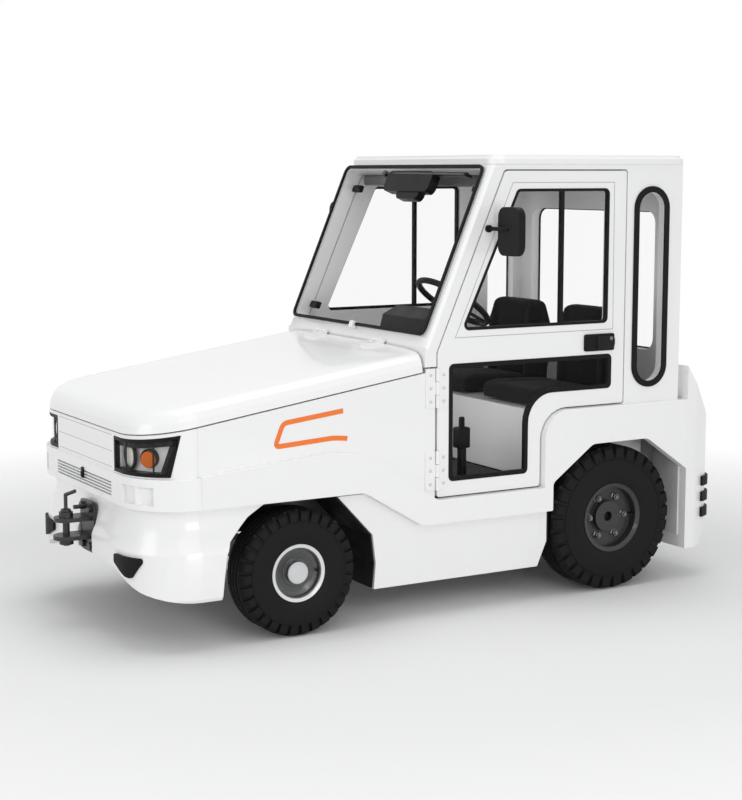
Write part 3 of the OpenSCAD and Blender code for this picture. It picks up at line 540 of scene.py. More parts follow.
def tube(work, path, radius, sides=12):
    turns = [2 * math.pi * k / sides for k in range(sides)]
    side = heading(path, 0).orthogonal().normalized()
    loops = []
    for i, p in enumerate(path):
        along = heading(path, i)
        side = (side - along * side.dot(along)).normalized()
        other = along.cross(side)
        loops.append([p + (side * math.cos(t) + other * math.sin(t)) * radius for t in turns])
    rings(work, loops, Matrix.Identity(4))


print("ring forms: turned, hoop, tube")

# %% [markdown]
# ## Forms made of outlines
# A flat part is an outline at several heights. `inset` moves an outline inwards along the mitre of
# each corner, which gives the chamfer of a slab, the inner edge of a band and the ends of a block.

# %% outline forms
MITRE_LIMIT = 0.2


def inset(outline, d):
    result = []
    for i, (x, y) in enumerate(outline):
        ax, ay = outline[i - 1]
        bx, by = outline[(i + 1) % len(outline)]
        u = Vector((x - ax, y - ay)).normalized()
        v = Vector((bx - x, by - y)).normalized()
        n = Vector((-u.y - v.y, u.x + v.x))
        n = n / max(n.length_squared, MITRE_LIMIT) * 2
        result.append((x + n.x * d, y + n.y * d))
    return result


def levels(*outlines):
    return [[(x, y, z) for x, y in outline] for outline, z in outlines]


def slab(work, outline, place, low, high, chamfer):
    face = inset(outline, chamfer)
    rings(work, levels((outline, low), (outline, high - chamfer), (face, high)), place)


def band(work, outline, width, place, low, high):
    inner = inset(outline, width)
    loops = levels((outline, low), (outline, high), (inner, high), (inner, low))
    rings(work, loops, place, closed=True)


def oblong(wide, tall, r, n=6):
    x, y = wide / 2 - r, tall / 2 - r
    corners = [(x, y, 0), (-x, y, 90), (-x, -y, 180), (x, -y, 270)]
    spots = [(x, y, math.radians(a + 90 * i / n)) for x, y, a in corners for i in range(n + 1)]
    return [(x + r * math.cos(t), y + r * math.sin(t)) for x, y, t in spots]


def brick(work, low, high, edge):
    deep, wide, tall = [b - a for a, b in zip(low, high)]
    middle = at(*[(a + b) / 2 for a, b in zip(low, high)])
    shape = oblong(wide, tall, min(edge * 1.5, wide / 3, tall / 3), 3)
    face = inset(shape, edge)
    half = deep / 2
    loops = levels((face, -half), (shape, edge - half), (shape, half - edge), (face, half))
    rings(work, loops, facing(middle, (1, 0, 0)))


print("outline forms: slab, band, brick")

# %% [markdown]
# ## Repeats with Geometry Nodes
# Nuts, screws, slats and the lugs of a tyre repeat round a ring or along a row. Copying them by
# hand would hide that rule, so two small node trees hold it: one instances a part round a circle,
# turns each copy and welds neighbours, the other sets copies along a line.


# %% repeat trees
def repeat_tree(name, numbers):
    tree = bpy.data.node_groups.new(name, "GeometryNodeTree")
    face = tree.interface
    face.new_socket("Part", in_out="INPUT", socket_type="NodeSocketGeometry")
    for label, kind in numbers.items():
        face.new_socket(label, in_out="INPUT", socket_type=kind)
    face.new_socket("Finish", in_out="INPUT", socket_type="NodeSocketMaterial")
    face.new_socket("Mesh", in_out="OUTPUT", socket_type="NodeSocketGeometry")
    start = tree.nodes.new("NodeGroupInput").outputs
    end = tree.nodes.new("NodeGroupOutput").inputs

    def add(kind, links, **settings):
        made = tree.nodes.new(kind)
        for key, value in settings.items():
            setattr(made, key, value)
        for key, value in links.items():
            if isinstance(value, bpy.types.NodeSocket):
                tree.links.new(value, made.inputs[key])
            else:
                made.inputs[key].default_value = value
        return made.outputs[0]

    return tree, start, end, add


ring_tree, start, end, add = repeat_tree(
    "ring of parts", {"Count": "NodeSocketInt", "Radius": "NodeSocketFloat"}
)
circle = add("GeometryNodeMeshCircle", {"Vertices": start["Count"], "Radius": start["Radius"]})
step = add("ShaderNodeMath", {0: 2 * math.pi, 1: start["Count"]}, operation="DIVIDE")
number = add("GeometryNodeInputIndex", {})
angle = add("ShaderNodeMath", {0: number, 1: step}, operation="MULTIPLY")
turn = add("ShaderNodeCombineXYZ", {"Z": angle})
spread = {"Points": circle, "Instance": start["Part"], "Rotation": turn}
copies = add("GeometryNodeInstanceOnPoints", spread)
solid = add("GeometryNodeRealizeInstances", {"Geometry": copies})
welded = add("GeometryNodeMergeByDistance", {"Geometry": solid, "Distance": WELD})
dressed = add("GeometryNodeSetMaterial", {"Geometry": welded, "Material": start["Finish"]})
ring_tree.links.new(dressed, end[0])

row_tree, start, end, add = repeat_tree(
    "row of parts", {"Count": "NodeSocketInt", "Step": "NodeSocketVector"}
)
line = add("GeometryNodeMeshLine", {"Count": start["Count"], "Offset": start["Step"]})
copies = add("GeometryNodeInstanceOnPoints", {"Points": line, "Instance": start["Part"]})
solid = add("GeometryNodeRealizeInstances", {"Geometry": copies})
dressed = add("GeometryNodeSetMaterial", {"Geometry": solid, "Material": start["Finish"]})
row_tree.links.new(dressed, end[0])
print("repeat trees", ring_tree.name, row_tree.name)

# %% [markdown]
# ## Using the trees
# `repeated` hangs a tree on a part as a modifier, sets the tree's inputs by their identifiers and
# makes the result a plain mesh. `gather` adds a copy of such a mesh to a piece, at a given place.


# %% repeat and gather
def applied(obj, name):
    bpy.context.view_layer.update()
    graph = bpy.context.evaluated_depsgraph_get()
    mesh = bpy.data.meshes.new_from_object(obj.evaluated_get(graph))
    bpy.data.objects.remove(obj)
    mesh.name = name
    return mesh


def repeated(work, tree, finish, **values):
    values["Finish"] = finish
    seed = link("part", closed_mesh(work, "part"))
    modifier = seed.modifiers.new("repeat", "NODES")
    modifier.node_group = tree
    for socket in tree.interface.items_tree:
        if socket.in_out == "INPUT" and socket.name in values:
            modifier[socket.identifier] = values[socket.name]
    return applied(seed, "repeated part")


def gather(work, mesh, place):
    copy = mesh.copy()
    copy.transform(place)
    work.from_mesh(copy)
    bpy.data.meshes.remove(copy)


print("repeat and gather ready")

# %% [markdown]
# ## Tyres
# An industrial tyre has thirty deep lugs on each shoulder, a flat tread with round grooves and a
# raised ring on its side. All of that repeats every twelve degrees, so one pitch is drawn as rows
# of points from bead to bead, and the ring tree sets thirty of them round the axle and welds them.

# %% tyres
LUGS = 30
LUG_SHARES = [0, 0.11, 0.22, 0.33, 0.67, 0.78, 0.89, 1]
GAP_SHARES = [0.38, 0.5, 0.62]
TYRE_SIZES = {"front": (540, 160, 229), "rear": (676, 190, 305)}
WHEELS = {
    "front_left": (0, 570, 270),
    "front_right": (0, -570, 270),
    "rear_left": (-1650, 555, 338),
    "rear_right": (-1650, -555, 338),
}


def tyre_rows(d, w, rim, cut):
    bead = rim / 2 + 9.7
    belly = rim / 2 + (d - rim) * 0.26
    mark = 0.82 * d / 2
    half = [
        (bead, 0.44 * w),
        (bead + 5, 0.452 * w),
        (bead + (belly - bead) * 0.5, 0.487 * w),
        (belly, 0.5 * w),
        (mark - 7, 0.496 * w),
        (mark - 5, 0.512 * w),
        (mark - 1, 0.512 * w),
        (mark + 1, 0.492 * w),
        (d / 2 - 42, 0.489 * w - 0.05 * w * cut),
        (d / 2 - 15 - 26 * cut, (0.485 - 0.05 * cut) * w),
        (d / 2 - 5 - 18 * cut, (0.43 - 0.03 * cut) * w),
        (d / 2, 0.34 * w),
        (d / 2, 0.21 * w),
        (d / 2 - 8, 0.2 * w),
        (d / 2 - 8, 0.15 * w),
        (d / 2, 0.14 * w),
        (d / 2, 0.03 * w),
        (d / 2 - 6, 0.02 * w),
    ]
    return [(r, -y) for r, y in half] + [(r, y) for r, y in reversed(half)]


def tyre_mesh(d, w, rim):
    work = bmesh.new()
    rows = []
    for share in sorted(LUG_SHARES + GAP_SHARES):
        a = 2 * math.pi * share / LUGS
        line = tyre_rows(d, w, rim, cut=share in GAP_SHARES)
        points = [(r * math.cos(a) / 1000, r * math.sin(a) / 1000, y / 1000) for r, y in line]
        rows.append([work.verts.new(p) for p in points])
    bridge(work, rows)
    return repeated(work, ring_tree, TYRE_RUBBER, Count=LUGS, Radius=0.0)


tyres = {axle: tyre_mesh(*size) for axle, size in TYRE_SIZES.items()}
upright = Matrix.Rotation(math.radians(90), 4, "X")
for wheel, spot in WHEELS.items():
    node = "tyre_" + wheel
    rubber = bmesh.new()
    gather(rubber, tyres[wheel.split("_")[0]], Matrix.Translation(at(*spot)) @ upright)
    put(node + "_rubber", rubber, TYRE_RUBBER, "wheel_" + wheel, "tyre", node, smooth=32)
print("tyres", [len(m.polygons) for m in tyres.values()], "faces each")

# %% [markdown]
# ## Rims, nuts and hub caps
# The front rims are silver with a bright lip, the dish behind it painted dark as its shade, and a
# flat cap covers the hub.
# The rear rims are dark and held by six nuts. A nut is turned with six sides, and the ring tree
# sets six of them on the bolt circle. Every wheel has a valve, which is a short bent tube.

# %% rims
NUTS = 6
BOLT_CIRCLE = 0.1
NUT = [(20, 0), (20, 4), (16.5, 6), (16.5, 17), (14, 20)]
STUD = [(8.5, 18), (8.5, 26), (7, 28)]
HUB_CAP = [(47, 61.9), (47, 66), (44, 69), (39, 69.5), (37, 68), (2, 68)]
DISH_FRONT = [(101.9, 62), (101.9, 47), (98, 44.4), (70, 40.4), (63, 39.4)]
DISH_BACK = [(63, 38.6), (101, 45), (102.2, 46.6), (102.2, 62)]
nut = bmesh.new()
turned(nut, NUT, TO_METRES, 6)
turned(nut, STUD, TO_METRES, 20)
nuts = repeated(nut, ring_tree, DARK_STEEL, Count=NUTS, Radius=BOLT_CIRCLE)
for wheel, (x, y, z) in WHEELS.items():
    body = "wheel_" + wheel
    face = facing(at(x, y, z), (0, math.copysign(1, y), 0))
    if wheel.startswith("front"):
        reach = 96
        # painted shade: a dark skin on the dish stands in for the shade inside the rim
        dish = bmesh.new()
        hoop(dish, DISH_FRONT + DISH_BACK, face, 64)
        put("rim_dish_shade_" + wheel, dish, RIM_SHADE, body, "silver_rim")
        cap = bmesh.new()
        turned(cap, HUB_CAP, face, 64)
        put("hub_cap_" + wheel, cap, RIM_SILVER, body, "silver_rim", smooth=30)
    else:
        reach = 134
        ring = bmesh.new()
        gather(ring, nuts, face @ Matrix.Translation((0, 0, 31)) @ TO_MILLIMETRES)
        put("wheel_nuts_" + wheel, ring, DARK_STEEL, body, "dark_rim", smooth=25)
    valve = bmesh.new()
    stem = [(reach, 0, 44), (reach - 4, 0, 60), (reach - 10, 0, 74)]
    tube(valve, [face @ Vector(p) for p in stem], 0.0045, 10)
    put("valve_" + wheel, valve, BLACK_PLASTIC, body, "tyre")
print("nuts on each rear wheel:", NUTS)

# %% [markdown]
# ## Round the headlamps
# Each front corner has a curved clear cover. A white plate closes the lamp's inner side, and a
# black visor strip runs along the top of the cover. A curve with a profile could draw the strip,
# but sections set on the corner's own arc follow the cover and the bonnet's slope exactly.

# %% headlamp surrounds
CORNER = (450, 396)
COVER_RADIUS = 222
NOSE = 690
VISOR_TOP = 850
BONNET_SLOPE = 0.1489
VISOR_DEPTH = 24
reflectors = bmesh.new()
visors = bmesh.new()
cover_line = [(672, 338), (672, 370)]
for degrees in range(0, 66, 5):
    bend = math.radians(degrees)
    forward, sideways = COVER_RADIUS * math.cos(bend), COVER_RADIUS * math.sin(bend)
    cover_line.append((CORNER[0] + forward, CORNER[1] + sideways))
for side in (1, -1):
    inner = side * 350.5
    brick(reflectors, (640, inner - 1.2, 737), (669, inner + 1.2, 850), 0.5)
    loops = []
    for x, y in cover_line:
        high = VISOR_TOP + BONNET_SLOPE * (NOSE - x)
        low = high - VISOR_DEPTH
        section = [(x - 1.5, y - 1, low), (x - 1.5, y - 1, high), (x, y, high), (x, y, low)]
        loops.append([at(p, side * q, h) for p, q, h in section])
    rings(visors, loops, Matrix.Identity(4))
put("headlamp_reflectors", reflectors, BODY_WHITE, "chassis", "lamp_chrome")
put("headlamp_visors", visors, SATIN_BLACK, "chassis", "black_plastic")
print("visor sections", len(cover_line), "on each side")

# %% [markdown]
# ## Headlamps
# Behind each cover sit a round headlamp and an orange indicator, both in a black ring, and two
# thin black bars divide the cover. The lamps are turned forms. The indicator's ring and the bars
# stand on the corner's arc, so their places come from an angle round the corner's centre.

# %% headlamps
LAMP_FACE = 644.3
LAMP_ACROSS = 416
LAMP_HEIGHT = 792
LAMP_RING = [(56, 0), (56, 12), (54, 14), (49, 14), (46.5, 10), (46.5, 0)]
LAMP_DOME = [(46, 1), (46, 9), (40, 12), (28, 14), (12, 15), (1, 15.2)]
INDICATOR_RING = [(39, 0), (39, 19), (37, 21), (34.6, 21), (34.6, 0)]
lamp_rings = bmesh.new()
lamp_domes = bmesh.new()
bars = bmesh.new()


def on_corner(side, degrees, radius, height):
    bend = math.radians(degrees)
    out = (math.cos(bend), side * math.sin(bend), 0)
    spot = at(CORNER[0] + radius * out[0], side * CORNER[1] + radius * out[1], height)
    return facing(spot, out)


for side in (1, -1):
    lamp = facing(at(LAMP_FACE, side * LAMP_ACROSS, LAMP_HEIGHT), (1, 0, 0))
    hoop(lamp_rings, LAMP_RING, lamp)
    turned(lamp_domes, LAMP_DOME, lamp)
    hoop(lamp_rings, INDICATOR_RING, on_corner(side, 38, 195, LAMP_HEIGHT))
    for degrees in (7, 45):
        place = on_corner(side, degrees, COVER_RADIUS, LAMP_HEIGHT + 2)
        slab(bars, oblong(7, 122, 1), place, 0, 4.5, 0.8)
put("headlamp_rings", lamp_rings, BLACK_PLASTIC, "chassis", "lamp_chrome", "headlamps")
put("headlamp_domes", lamp_domes, LAMP_WHITE, "chassis", "lamp_chrome", "headlamps")
put("headlamp_bars", bars, BLACK_PLASTIC, "chassis", "black_plastic")
print("headlamps and bars made")

# %% [markdown]
# ## Nose
# The grille's slots lie in shade inside, so a grey strip of painted shade is set in the lowest
# slot and the row tree repeats it. A black latch sits in the middle, and three fine seams cross the
# panel between the lamps.

# %% nose
SLOTS = 5
SLOT_STEP = 0.013
SEAM_HEIGHTS = (732, 798, 866)
# painted shade: a grey strip inside each slot stands for the shade there
strip = bmesh.new()
brick(strip, (672, -320, 614.4), (689, 320, 620.6), 0.8)
shadows = repeated(strip, row_tree, SEAM_SHADE, Count=SLOTS, Step=(0, 0, SLOT_STEP))
keep("grille_shadows", shadows, SEAM_SHADE, "chassis", "black_plastic")
latch = bmesh.new()
brick(latch, (698, -11, 640), (708, 11, 686), 2)
brick(latch, (706, -7, 646), (711, 7, 668), 1.5)
put("grille_latch", latch, BLACK_PLASTIC, "chassis", "black_plastic")
seams = bmesh.new()
for height in SEAM_HEIGHTS:
    brick(seams, (689.4, -312, height - 1.3), (690.5, 312, height + 1.3), 0.3)
put("nose_seams", seams, SEAM_SHADE, "chassis", "body_paint")
print("grille strips", SLOTS, "seams", len(SEAM_HEIGHTS))

# %% [markdown]
# ## Stripe and window groove
# An orange bracket is stuck on each wing, and a fine groove runs round each door window. The
# bracket is a flat ribbon that follows a path with rounded corners, and the groove is a closed
# band. Both are drawn on a side plane of the tug.

# %% stripe and groove
SIDES = ((1, "left"), (-1, "right"))
SIDE_SKIN = 636
BRACKET = [(-217, 941), (66, 908), (104, 812), (-171, 829), (-237, 822)]
WINDOW_GROOVE = [(-773, 1219), (-1637, 1219), (-1632, 1890), (-1070, 1890)]


def on_side(side, points):
    return [(-side * x, z) for x, z in points]


def side_plane(side, y):
    return facing(at(0, side * y, 0), (0, side, 0))


def filleted(points, radius, n=5):
    path = [Vector(points[0])]
    for a, b, c in zip(points, points[1:], points[2:]):
        a, b, c = Vector(a), Vector(b), Vector(c)
        p = b + (a - b).normalized() * radius
        q = b + (c - b).normalized() * radius
        for i in range(n + 1):
            t = i / n
            path.append(p * (1 - t) ** 2 + b * 2 * t * (1 - t) + q * t**2)
    return path + [Vector(points[-1])]


def ribbon(work, path, width, place, low, high):
    loops = []
    for i, p in enumerate(path):
        along = heading(path, i)
        across = Vector((-along.y, along.x)) * width / 2
        a, b = p + across, p - across
        loops.append([(a.x, a.y, low), (a.x, a.y, high), (b.x, b.y, high), (b.x, b.y, low)])
    rings(work, loops, place)


for side, name in SIDES:
    plane = side_plane(side, SIDE_SKIN)
    stripe = bmesh.new()
    ribbon(stripe, filleted(on_side(side, BRACKET), 22), 21, plane, -0.5, 0.9)
    put("wing_stripe_" + name, stripe, ORANGE, "chassis", "body_paint")
    groove = bmesh.new()
    band(groove, on_side(side, WINDOW_GROOVE), 3.2, plane, -0.5, 0.5)
    put("window_groove_" + name, groove, SEAM_SHADE, "door_" + name, "body_paint")
print("stripes and grooves made")

# %% [markdown]
# ## Hinge screws
# Each door hangs on two hinges, and each leaf of a hinge has three screws in a row. One leaf is
# screwed to the pillar and stays, the other turns with the door, so the screws are gathered by the
# body that they ride on.

# %% hinge screws
HINGE_FACE = 644
HINGE_HEIGHTS = (646, 1008)
SCREW_STEP = 58
SCREW = [(7, 0), (7, 2.4), (5.6, 4), (3.2, 4), (2.6, 2.6), (0.4, 2.6)]
screw = bmesh.new()
turned(screw, SCREW, TO_METRES, 20)
screws = repeated(screw, row_tree, ZINC, Count=3, Step=(0, SCREW_STEP / 1000, 0))
hinge_screws = {body: bmesh.new() for body in ("chassis", "door_left", "door_right")}


def side_spot(side, y, x, z, depth=0):
    return side_plane(side, y) @ Matrix.Translation((-side * x, z, depth))


for side, name in SIDES:
    for middle in HINGE_HEIGHTS:
        for x, body in ((-646, "chassis"), (-713, "door_" + name)):
            spot = side_spot(side, HINGE_FACE, x, middle - SCREW_STEP)
            gather(hinge_screws[body], screws, spot @ TO_MILLIMETRES)
for body, work in hinge_screws.items():
    put("hinge_screws_" + body, work, ZINC, body, "body_paint", smooth=25)
print("hinge screws on", list(hinge_screws))

# %% [markdown]
# ## Windscreen fittings
# The wiper's arm lies along the top of the glass, four black brackets hold the screen to the
# pillars from inside, and a white washer jet stands at its foot. They are drawn in the screen's
# own plane: x across the car, y up the slope, z out of the glass.

# %% windscreen fittings
SCREEN_FOOT = (-637, 0, 1225)
SCREEN_UP = (-318, 0, 742)
SCREEN_OUT = (742, 0, 318)
WIPER_ARM = [(-158, 745, 46), (80, 742, 52), (300, 741, 49), (528, 741, 46)]
WIPER_HUB = [(15, 40), (15, 54), (12, 58), (1, 58)]
screen = facing(at(*SCREEN_FOOT), SCREEN_OUT, SCREEN_UP)
arm = bmesh.new()
tube(arm, [screen @ Vector(p) for p in WIPER_ARM], 0.0045)
turned(arm, WIPER_HUB, screen @ Matrix.Translation((-150, 744, 0)), 24)
put("wiper_arm", arm, FRAME_BLACK, "chassis", "black_plastic")
clamp = bmesh.new()
for side in (-1, 1):
    for y in (92, 705):
        place = screen @ Matrix.Translation((side * 548, y, -62))
        slab(clamp, oblong(84, 34, 8), place, 0, 16, 2.5)
        foot = place @ Matrix.Translation((-side * 30, 0, 14))
        slab(clamp, oblong(30, 22, 5), foot, 0, 18, 2)
put("screen_brackets", clamp, BLACK_PLASTIC, "chassis", "black_plastic")
jet = bmesh.new()
slab(jet, oblong(30, 34, 7), screen @ Matrix.Translation((4, 6, 8)), 0, 26, 4)
put("washer_jet", jet, BODY_WHITE, "chassis", "body_paint")
print("windscreen fittings made")

# %% [markdown]
# ## Door handles and mirror glass
# A handle is a shallow black tray with a paddle that is pulled outwards and a small lock beside
# it. The mirror's glass is a thin slab with large corners, set in the back of its housing. All of
# them ride on their door.

# %% handles and mirror
HANDLE_FACE = 652
HANDLE_HEIGHT = 1163
LOCK = [(9, -1), (9, 2.5), (7.5, 4), (3, 4), (2.5, 3), (0.5, 3)]
for side, name in SIDES:
    door = "door_" + name
    tray = bmesh.new()
    spot = side_spot(side, HANDLE_FACE, -1555, HANDLE_HEIGHT, -16.5)
    slab(tray, oblong(168, 78, 10), spot, 0, 13, 3)
    put("door_pull_tray_" + name, tray, BLACK_PLASTIC, door, "black_plastic")
    pull = bmesh.new()
    spot = side_spot(side, HANDLE_FACE, -1583, HANDLE_HEIGHT, -2)
    slab(pull, oblong(98, 56, 8), spot, 0, 7, 2)
    put("door_pull_" + name, pull, SATIN_BLACK, door, "black_plastic")
    lock = bmesh.new()
    turned(lock, LOCK, side_spot(side, HANDLE_FACE, -1612, HANDLE_HEIGHT + 17, 4), 24)
    put("door_lock_" + name, lock, DARK_STEEL, door, "black_plastic")
    pane = bmesh.new()
    spot = facing(at(-995.4, side * 760.5, 1680), (-1, 0, 0))
    slab(pane, oblong(146, 196, 38), spot, -0.5, 1.5, 0.6)
    put("mirror_glass_" + name, pane, MIRROR, door, "black_plastic")
print("handles and mirrors made")

# %% [markdown]
# ## Inside the cab
# A dark lining hides the roof's steel, two pedals hang under the dashboard, and a lever box stands
# before the driver's seat. They are blocks with rounded edges, and each pedal hangs on a bent tube.

# %% cab inside
lining = bmesh.new()
brick(lining, (-1975, -578, 1909), (-1015, 578, 1920.5), 4)
brick(lining, (-1042, -574, 1868), (-1012, 574, 1912), 6)
put("roof_lining", lining, LINING_GREY, "chassis", "grey_trim")
pedals = bmesh.new()
for y in (150, 290):
    pad = facing(at(-790, y, 640), (-0.8, 0, 0.6), (0.6, 0, 0.8))
    slab(pedals, oblong(66, 92, 8), pad, 0, 12, 3)
    hanger = [at(-782, y, 646), at(-750, y, 720), at(-733, y, 800), at(-726, y, 985)]
    tube(pedals, hanger, 0.009)
put("pedals", pedals, BLACK_PLASTIC, "chassis", "black_plastic")
levers = bmesh.new()
brick(levers, (-985, 385, 545.5), (-950, 415, 705), 4)
brick(levers, (-997, 372, 690), (-934, 428, 785), 5)
brick(levers, (-978, 388, 780), (-954, 412, 832), 5)
put("lever_box", levers, BLACK_PLASTIC, "chassis", "black_plastic")
print("roof lining, pedals and lever box made")

# %% [markdown]
# ## Dashboard and floor
# Six rocker switches and a glove box sit in the dashboard's sloping face, and the mat has a row of
# low bars across the floor. One switch and one bar are drawn, and the row tree repeats them.

# %% dashboard and floor
SWITCHES = 6
RIBS = 26
dash_face = facing(at(-758, 70, 1120), (-0.98, 0, -0.196), (-0.196, 0, 0.98))
rocker = bmesh.new()
slab(rocker, oblong(25, 42, 4), dash_face, -1, 7, 2)
slab(rocker, oblong(17, 16, 3), dash_face @ Matrix.Translation((0, 9, 6)), 0, 4, 1.5)
rockers = repeated(rocker, row_tree, SATIN_BLACK, Count=SWITCHES, Step=(0, -0.033, 0))
keep("dash_switches", rockers, SATIN_BLACK, "chassis", "black_plastic")
glove_lid = bmesh.new()
slab(glove_lid, oblong(320, 120, 12), dash_face @ Matrix.Translation((410, -8, 0)), -1, 6, 2.5)
slab(glove_lid, oblong(60, 18, 5), dash_face @ Matrix.Translation((410, 34, 5)), 0, 6, 2)
put("glove_box_lid", glove_lid, SATIN_BLACK, "chassis", "black_plastic")
rib = bmesh.new()
brick(rib, (-1225, -560, 544.8), (-1217, 560, 547.6), 1)
ribs = repeated(rib, row_tree, FLOOR_MAT, Count=RIBS, Step=(0.02, 0, 0))
keep("floor_ribs", ribs, FLOOR_MAT, "chassis", "floor_mat")
print("switches", SWITCHES, "floor ribs", RIBS)

# %% [markdown]
# ## Battery and tail lamps
# Under the bonnet the battery shows its cell caps: one row of eight, set three times across the
# case, so the row tree is used twice. At the tail each round lamp sits in a black rubber ring.

# %% battery and tail lamps
CELLS_ALONG = 8
CELLS_ACROSS = 3
CELL_CAP = [(26, 0), (26, 6), (23, 9), (14, 9), (12, 14), (10, 15), (1, 15)]
TAIL_FACE = -2262
TAIL_RING = [(45.4, -1), (53, -1), (53, 9), (50, 12), (45.4, 12)]


def box_of(points):
    low = Vector([min(p[i] for p in points) for i in range(3)])
    high = Vector([max(p[i] for p in points) for i in range(3)])
    return low, high


low, high = box_of([v.co for v in nodes["battery_block"].data.vertices])
pitch_x = (high.x - low.x) / CELLS_ALONG
pitch_y = (high.y - low.y) / CELLS_ACROSS
first = (low.x + pitch_x / 2, low.y + pitch_y / 2, high.z)
cap = bmesh.new()
turned(cap, CELL_CAP, facing(first, (0, 0, 1), (1, 0, 0)), 28)
cap_row = repeated(cap, row_tree, BLACK_PLASTIC, Count=CELLS_ALONG, Step=(pitch_x, 0, 0))
cap_rows = bmesh.new()
cap_rows.from_mesh(cap_row)
cells = repeated(cap_rows, row_tree, BLACK_PLASTIC, Count=CELLS_ACROSS, Step=(0, pitch_y, 0))
keep("battery_caps", cells, BLACK_PLASTIC, "chassis", "black_plastic")
lamp_seats = bmesh.new()
for side in (1, -1):
    hoop(lamp_seats, TAIL_RING, facing(at(TAIL_FACE, side * 440, 600), (-1, 0, 0)))
put("tail_lamp_rings", lamp_seats, SEAL_RUBBER, "chassis", "rubber")
print("battery caps", CELLS_ALONG * CELLS_ACROSS, "tail lamp rings", 2)

# %% [markdown]
# ## Seat pads as solids
# The CAD node holds both seats, and each seat is a cushion and a back. A flood through the edges
# parts the node into its four solids, and a voxel remesh then gives a pad small even faces, which
# cloth needs. The pad starts a little smaller than its solid, because it will swell.

# %% seat solids
SHRINK = 0.008
VOXEL = 0.009


def islands(mesh):
    work = bmesh.new()
    work.from_mesh(mesh)
    bmesh.ops.remove_doubles(work, verts=work.verts, dist=1e-5)
    left = dict.fromkeys(work.verts)
    while left:
        first = next(iter(left))
        del left[first]
        wave, index = [first], {}
        while wave:
            vert = wave.pop()
            index[vert] = len(index)
            for edge in vert.link_edges:
                other = edge.other_vert(vert)
                if other in left:
                    del left[other]
                    wave.append(other)
        faces = [[index[v] for v in f.verts] for f in work.faces if f.verts[0] in index]
        yield [v.co.copy() for v in index], faces
    work.free()


def even_pad(name, points, faces):
    low, high = box_of(points)
    centre = (low + high) / 2
    size = [(h - l - 2 * SHRINK) / (h - l) for l, h in zip(low, high)]
    smaller = [[c + (p[i] - c) * size[i] for i, c in enumerate(centre)] for p in points]
    mesh = bpy.data.meshes.new(name)
    mesh.from_pydata(smaller, [], faces)
    pad = link(name, mesh)
    even = pad.modifiers.new("even", "REMESH")
    even.mode = "VOXEL"
    even.voxel_size = VOXEL
    return applied(pad, name)


print("pads are remeshed at", VOXEL * 1000, "mm")

# %% [markdown]
# ## Seats
# Each pad has a sewn channel down each side. It is blown up as cloth while the channels and the
# face that rests on the frame are pinned. No point may move further than `SWELL`, so the pad stays
# near its frame. The second seat is the same pad, moved across the cab.

# %% seats
SEAT_Y = 0.3
CHANNEL = 0.118
SWELL = 0.024
FRAMES = 20


def sewn(mesh, low, high):
    flat = high.z - low.z < 0.2
    pinned = []
    for vert in mesh.vertices:
        across = abs(vert.co.y - SEAT_Y)
        under = vert.co.z < low.z + SHRINK + 0.01 if flat else vert.co.x < low.x + 0.03
        if abs(across - CHANNEL) < 0.005 or under:
            pinned.append(vert.index)
    return pinned


def blow_up(pad):
    cloth = pad.modifiers.new("cloth", "CLOTH").settings
    cloth.quality = 5
    cloth.use_pressure = True
    cloth.uniform_pressure_force = 4
    cloth.effector_weights.gravity = 0
    cloth.vertex_group_mass = "seams"
    cloth.pin_stiffness = 1
    for number in range(1, FRAMES + 1):
        bpy.context.scene.frame_set(number)


def stuffed(name, points, faces):
    low, high = box_of(points)
    mesh = even_pad(name, points, faces)
    pad = link(name, mesh)
    pad.vertex_groups.new(name="seams").add(sewn(mesh, low, high), 1.0, "REPLACE")
    rest = [v.co.copy() for v in mesh.vertices]
    blow_up(pad)
    mesh = applied(pad, name)
    for vert, home in zip(mesh.vertices, rest):
        move = vert.co - home
        if move.length > SWELL:
            vert.co = home + move.normalized() * SWELL
        vert.co.z = max(vert.co.z, low.z + 0.0005)
    bpy.context.scene.frame_set(1)
    pad = link(name, mesh)
    fine = pad.modifiers.new("fine", "SUBSURF")
    fine.levels = fine.render_levels = 1
    return applied(pad, name)


for points, faces in islands(nodes["seats"].data):
    if sum(p.y for p in points) < 0:
        continue
    label = "seat_cushion" if max(p.z for p in points) < 1.0 else "seat_back"
    mesh = stuffed(label, points, faces)
    for side, name in SIDES:
        copy = mesh.copy()
        if side < 0:
            copy.transform(Matrix.Translation((0, -2 * SEAT_Y, 0)))
        name = label + "_" + name
        pad = keep(name, copy, SEAT_CLOTH, "chassis", "seat_cloth", "seats", smooth=180)
    print(label, len(mesh.polygons), "faces")

# %% [markdown]
# ## Studio lamps
# Soft light comes from all round: a large key from the upper left, and lamps in front, above and
# at the side. A small one lights the footwell, where the doors keep the studio's light out.


# %% studio lamps
def area(name, where, size, power, target):
    data = bpy.data.lights.new(name, "AREA")
    data.shape = "RECTANGLE"
    data.size, data.size_y = size
    data.energy = power
    lamp = bpy.data.objects.new(name, data)
    lamp.location = where
    lamp.rotation_euler = (target - Vector(where)).to_track_quat("-Z", "Y").to_euler()
    bpy.context.scene.collection.objects.link(lamp)


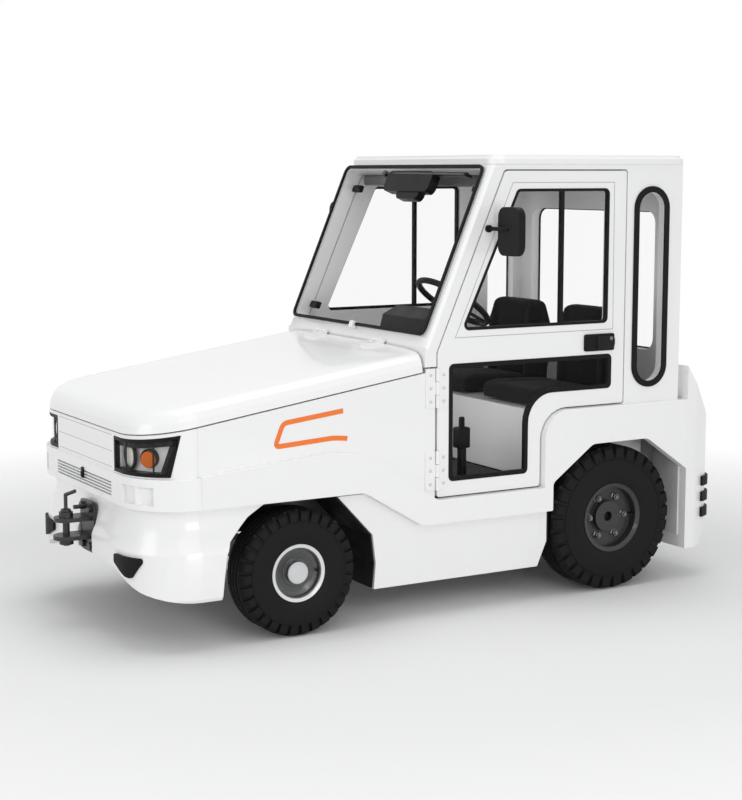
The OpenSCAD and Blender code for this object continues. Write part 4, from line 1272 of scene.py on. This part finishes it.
middle = Vector((0, 0, 0.9))
area("key", (1.5, 6.5, 4.6), (4.0, 3.5), 55, middle)
area("front", (7.5, 1.0, 3.2), (3.5, 3.0), 92, middle)
area("top", (-0.2, 0.3, 9.5), (6.0, 5.0), 250, middle)
area("side", (0.3, 7.5, 1.1), (3.0, 1.4), 100, middle)
area("cab fill", at(-735, 250, 930), (0.5, 0.25), 1.6, at(-1150, 250, 720))
print("lamps", [lamp.name for lamp in bpy.data.lights])

# %% [markdown]
# ## Background
# The background is white where the camera, metal or glass sees it, and a plain grey light for
# everything else, so that it brightens the picture and not the paint.

# %% background
SEEN_WHITE = (1, 1, 1, 1)
SOFT_GREY = (0.56, 0.565, 0.57, 1)
world = bpy.data.worlds.new("studio")
bpy.context.scene.world = world
world.use_nodes = True
tree = world.node_tree
path = tree.nodes.new("ShaderNodeLightPath")
seen = path.outputs["Is Camera Ray"]
for ray in ("Is Glossy Ray", "Is Transmission Ray"):
    either = tree.nodes.new("ShaderNodeMath")
    either.operation = "MAXIMUM"
    tree.links.new(seen, either.inputs[0])
    tree.links.new(path.outputs[ray], either.inputs[1])
    seen = either.outputs[0]
tone = tree.nodes.new("ShaderNodeMix")
tone.data_type = "RGBA"
tree.links.new(seen, tone.inputs[0])
tone.inputs[6].default_value = SOFT_GREY
tone.inputs[7].default_value = SEEN_WHITE
tree.links.new(tone.outputs[2], tree.nodes["Background"].inputs["Color"])
bpy.context.scene.view_settings.view_transform = "Standard"
print("background", world.name)

# %% [markdown]
# ## Floor
# The pale floor keeps the tug's shadow and fades by alpha into the white background a few metres
# out, so that no horizon shows.

# %% floor
FLOOR_HALF = 14
FADE_START = 2.2
FADE_END = 4.6
corners = [(x * FLOOR_HALF, y * FLOOR_HALF, 0) for x, y in ((-1, -1), (1, -1), (1, 1), (-1, 1))]
floor_mesh = bpy.data.meshes.new("floor")
floor_mesh.from_pydata(corners, [], [(0, 1, 2, 3)])
floor = link("floor", floor_mesh)
floor.location.z = -0.002
pale = Finish("pale floor", (0.84, 0.84, 0.84), 0.9)
spot = pale.place()
pale.feed("Roughness", pale.vary(pale.noise(3.0, 2.0, spot), 0.85, 0.95))
pale.feed("Alpha", pale.ramp(pale.length(spot), FADE_START, FADE_END, 1.0, 0.0))
floor_mesh.materials.append(pale.material)
print("floor fades from", FADE_START, "to", FADE_END, "m")
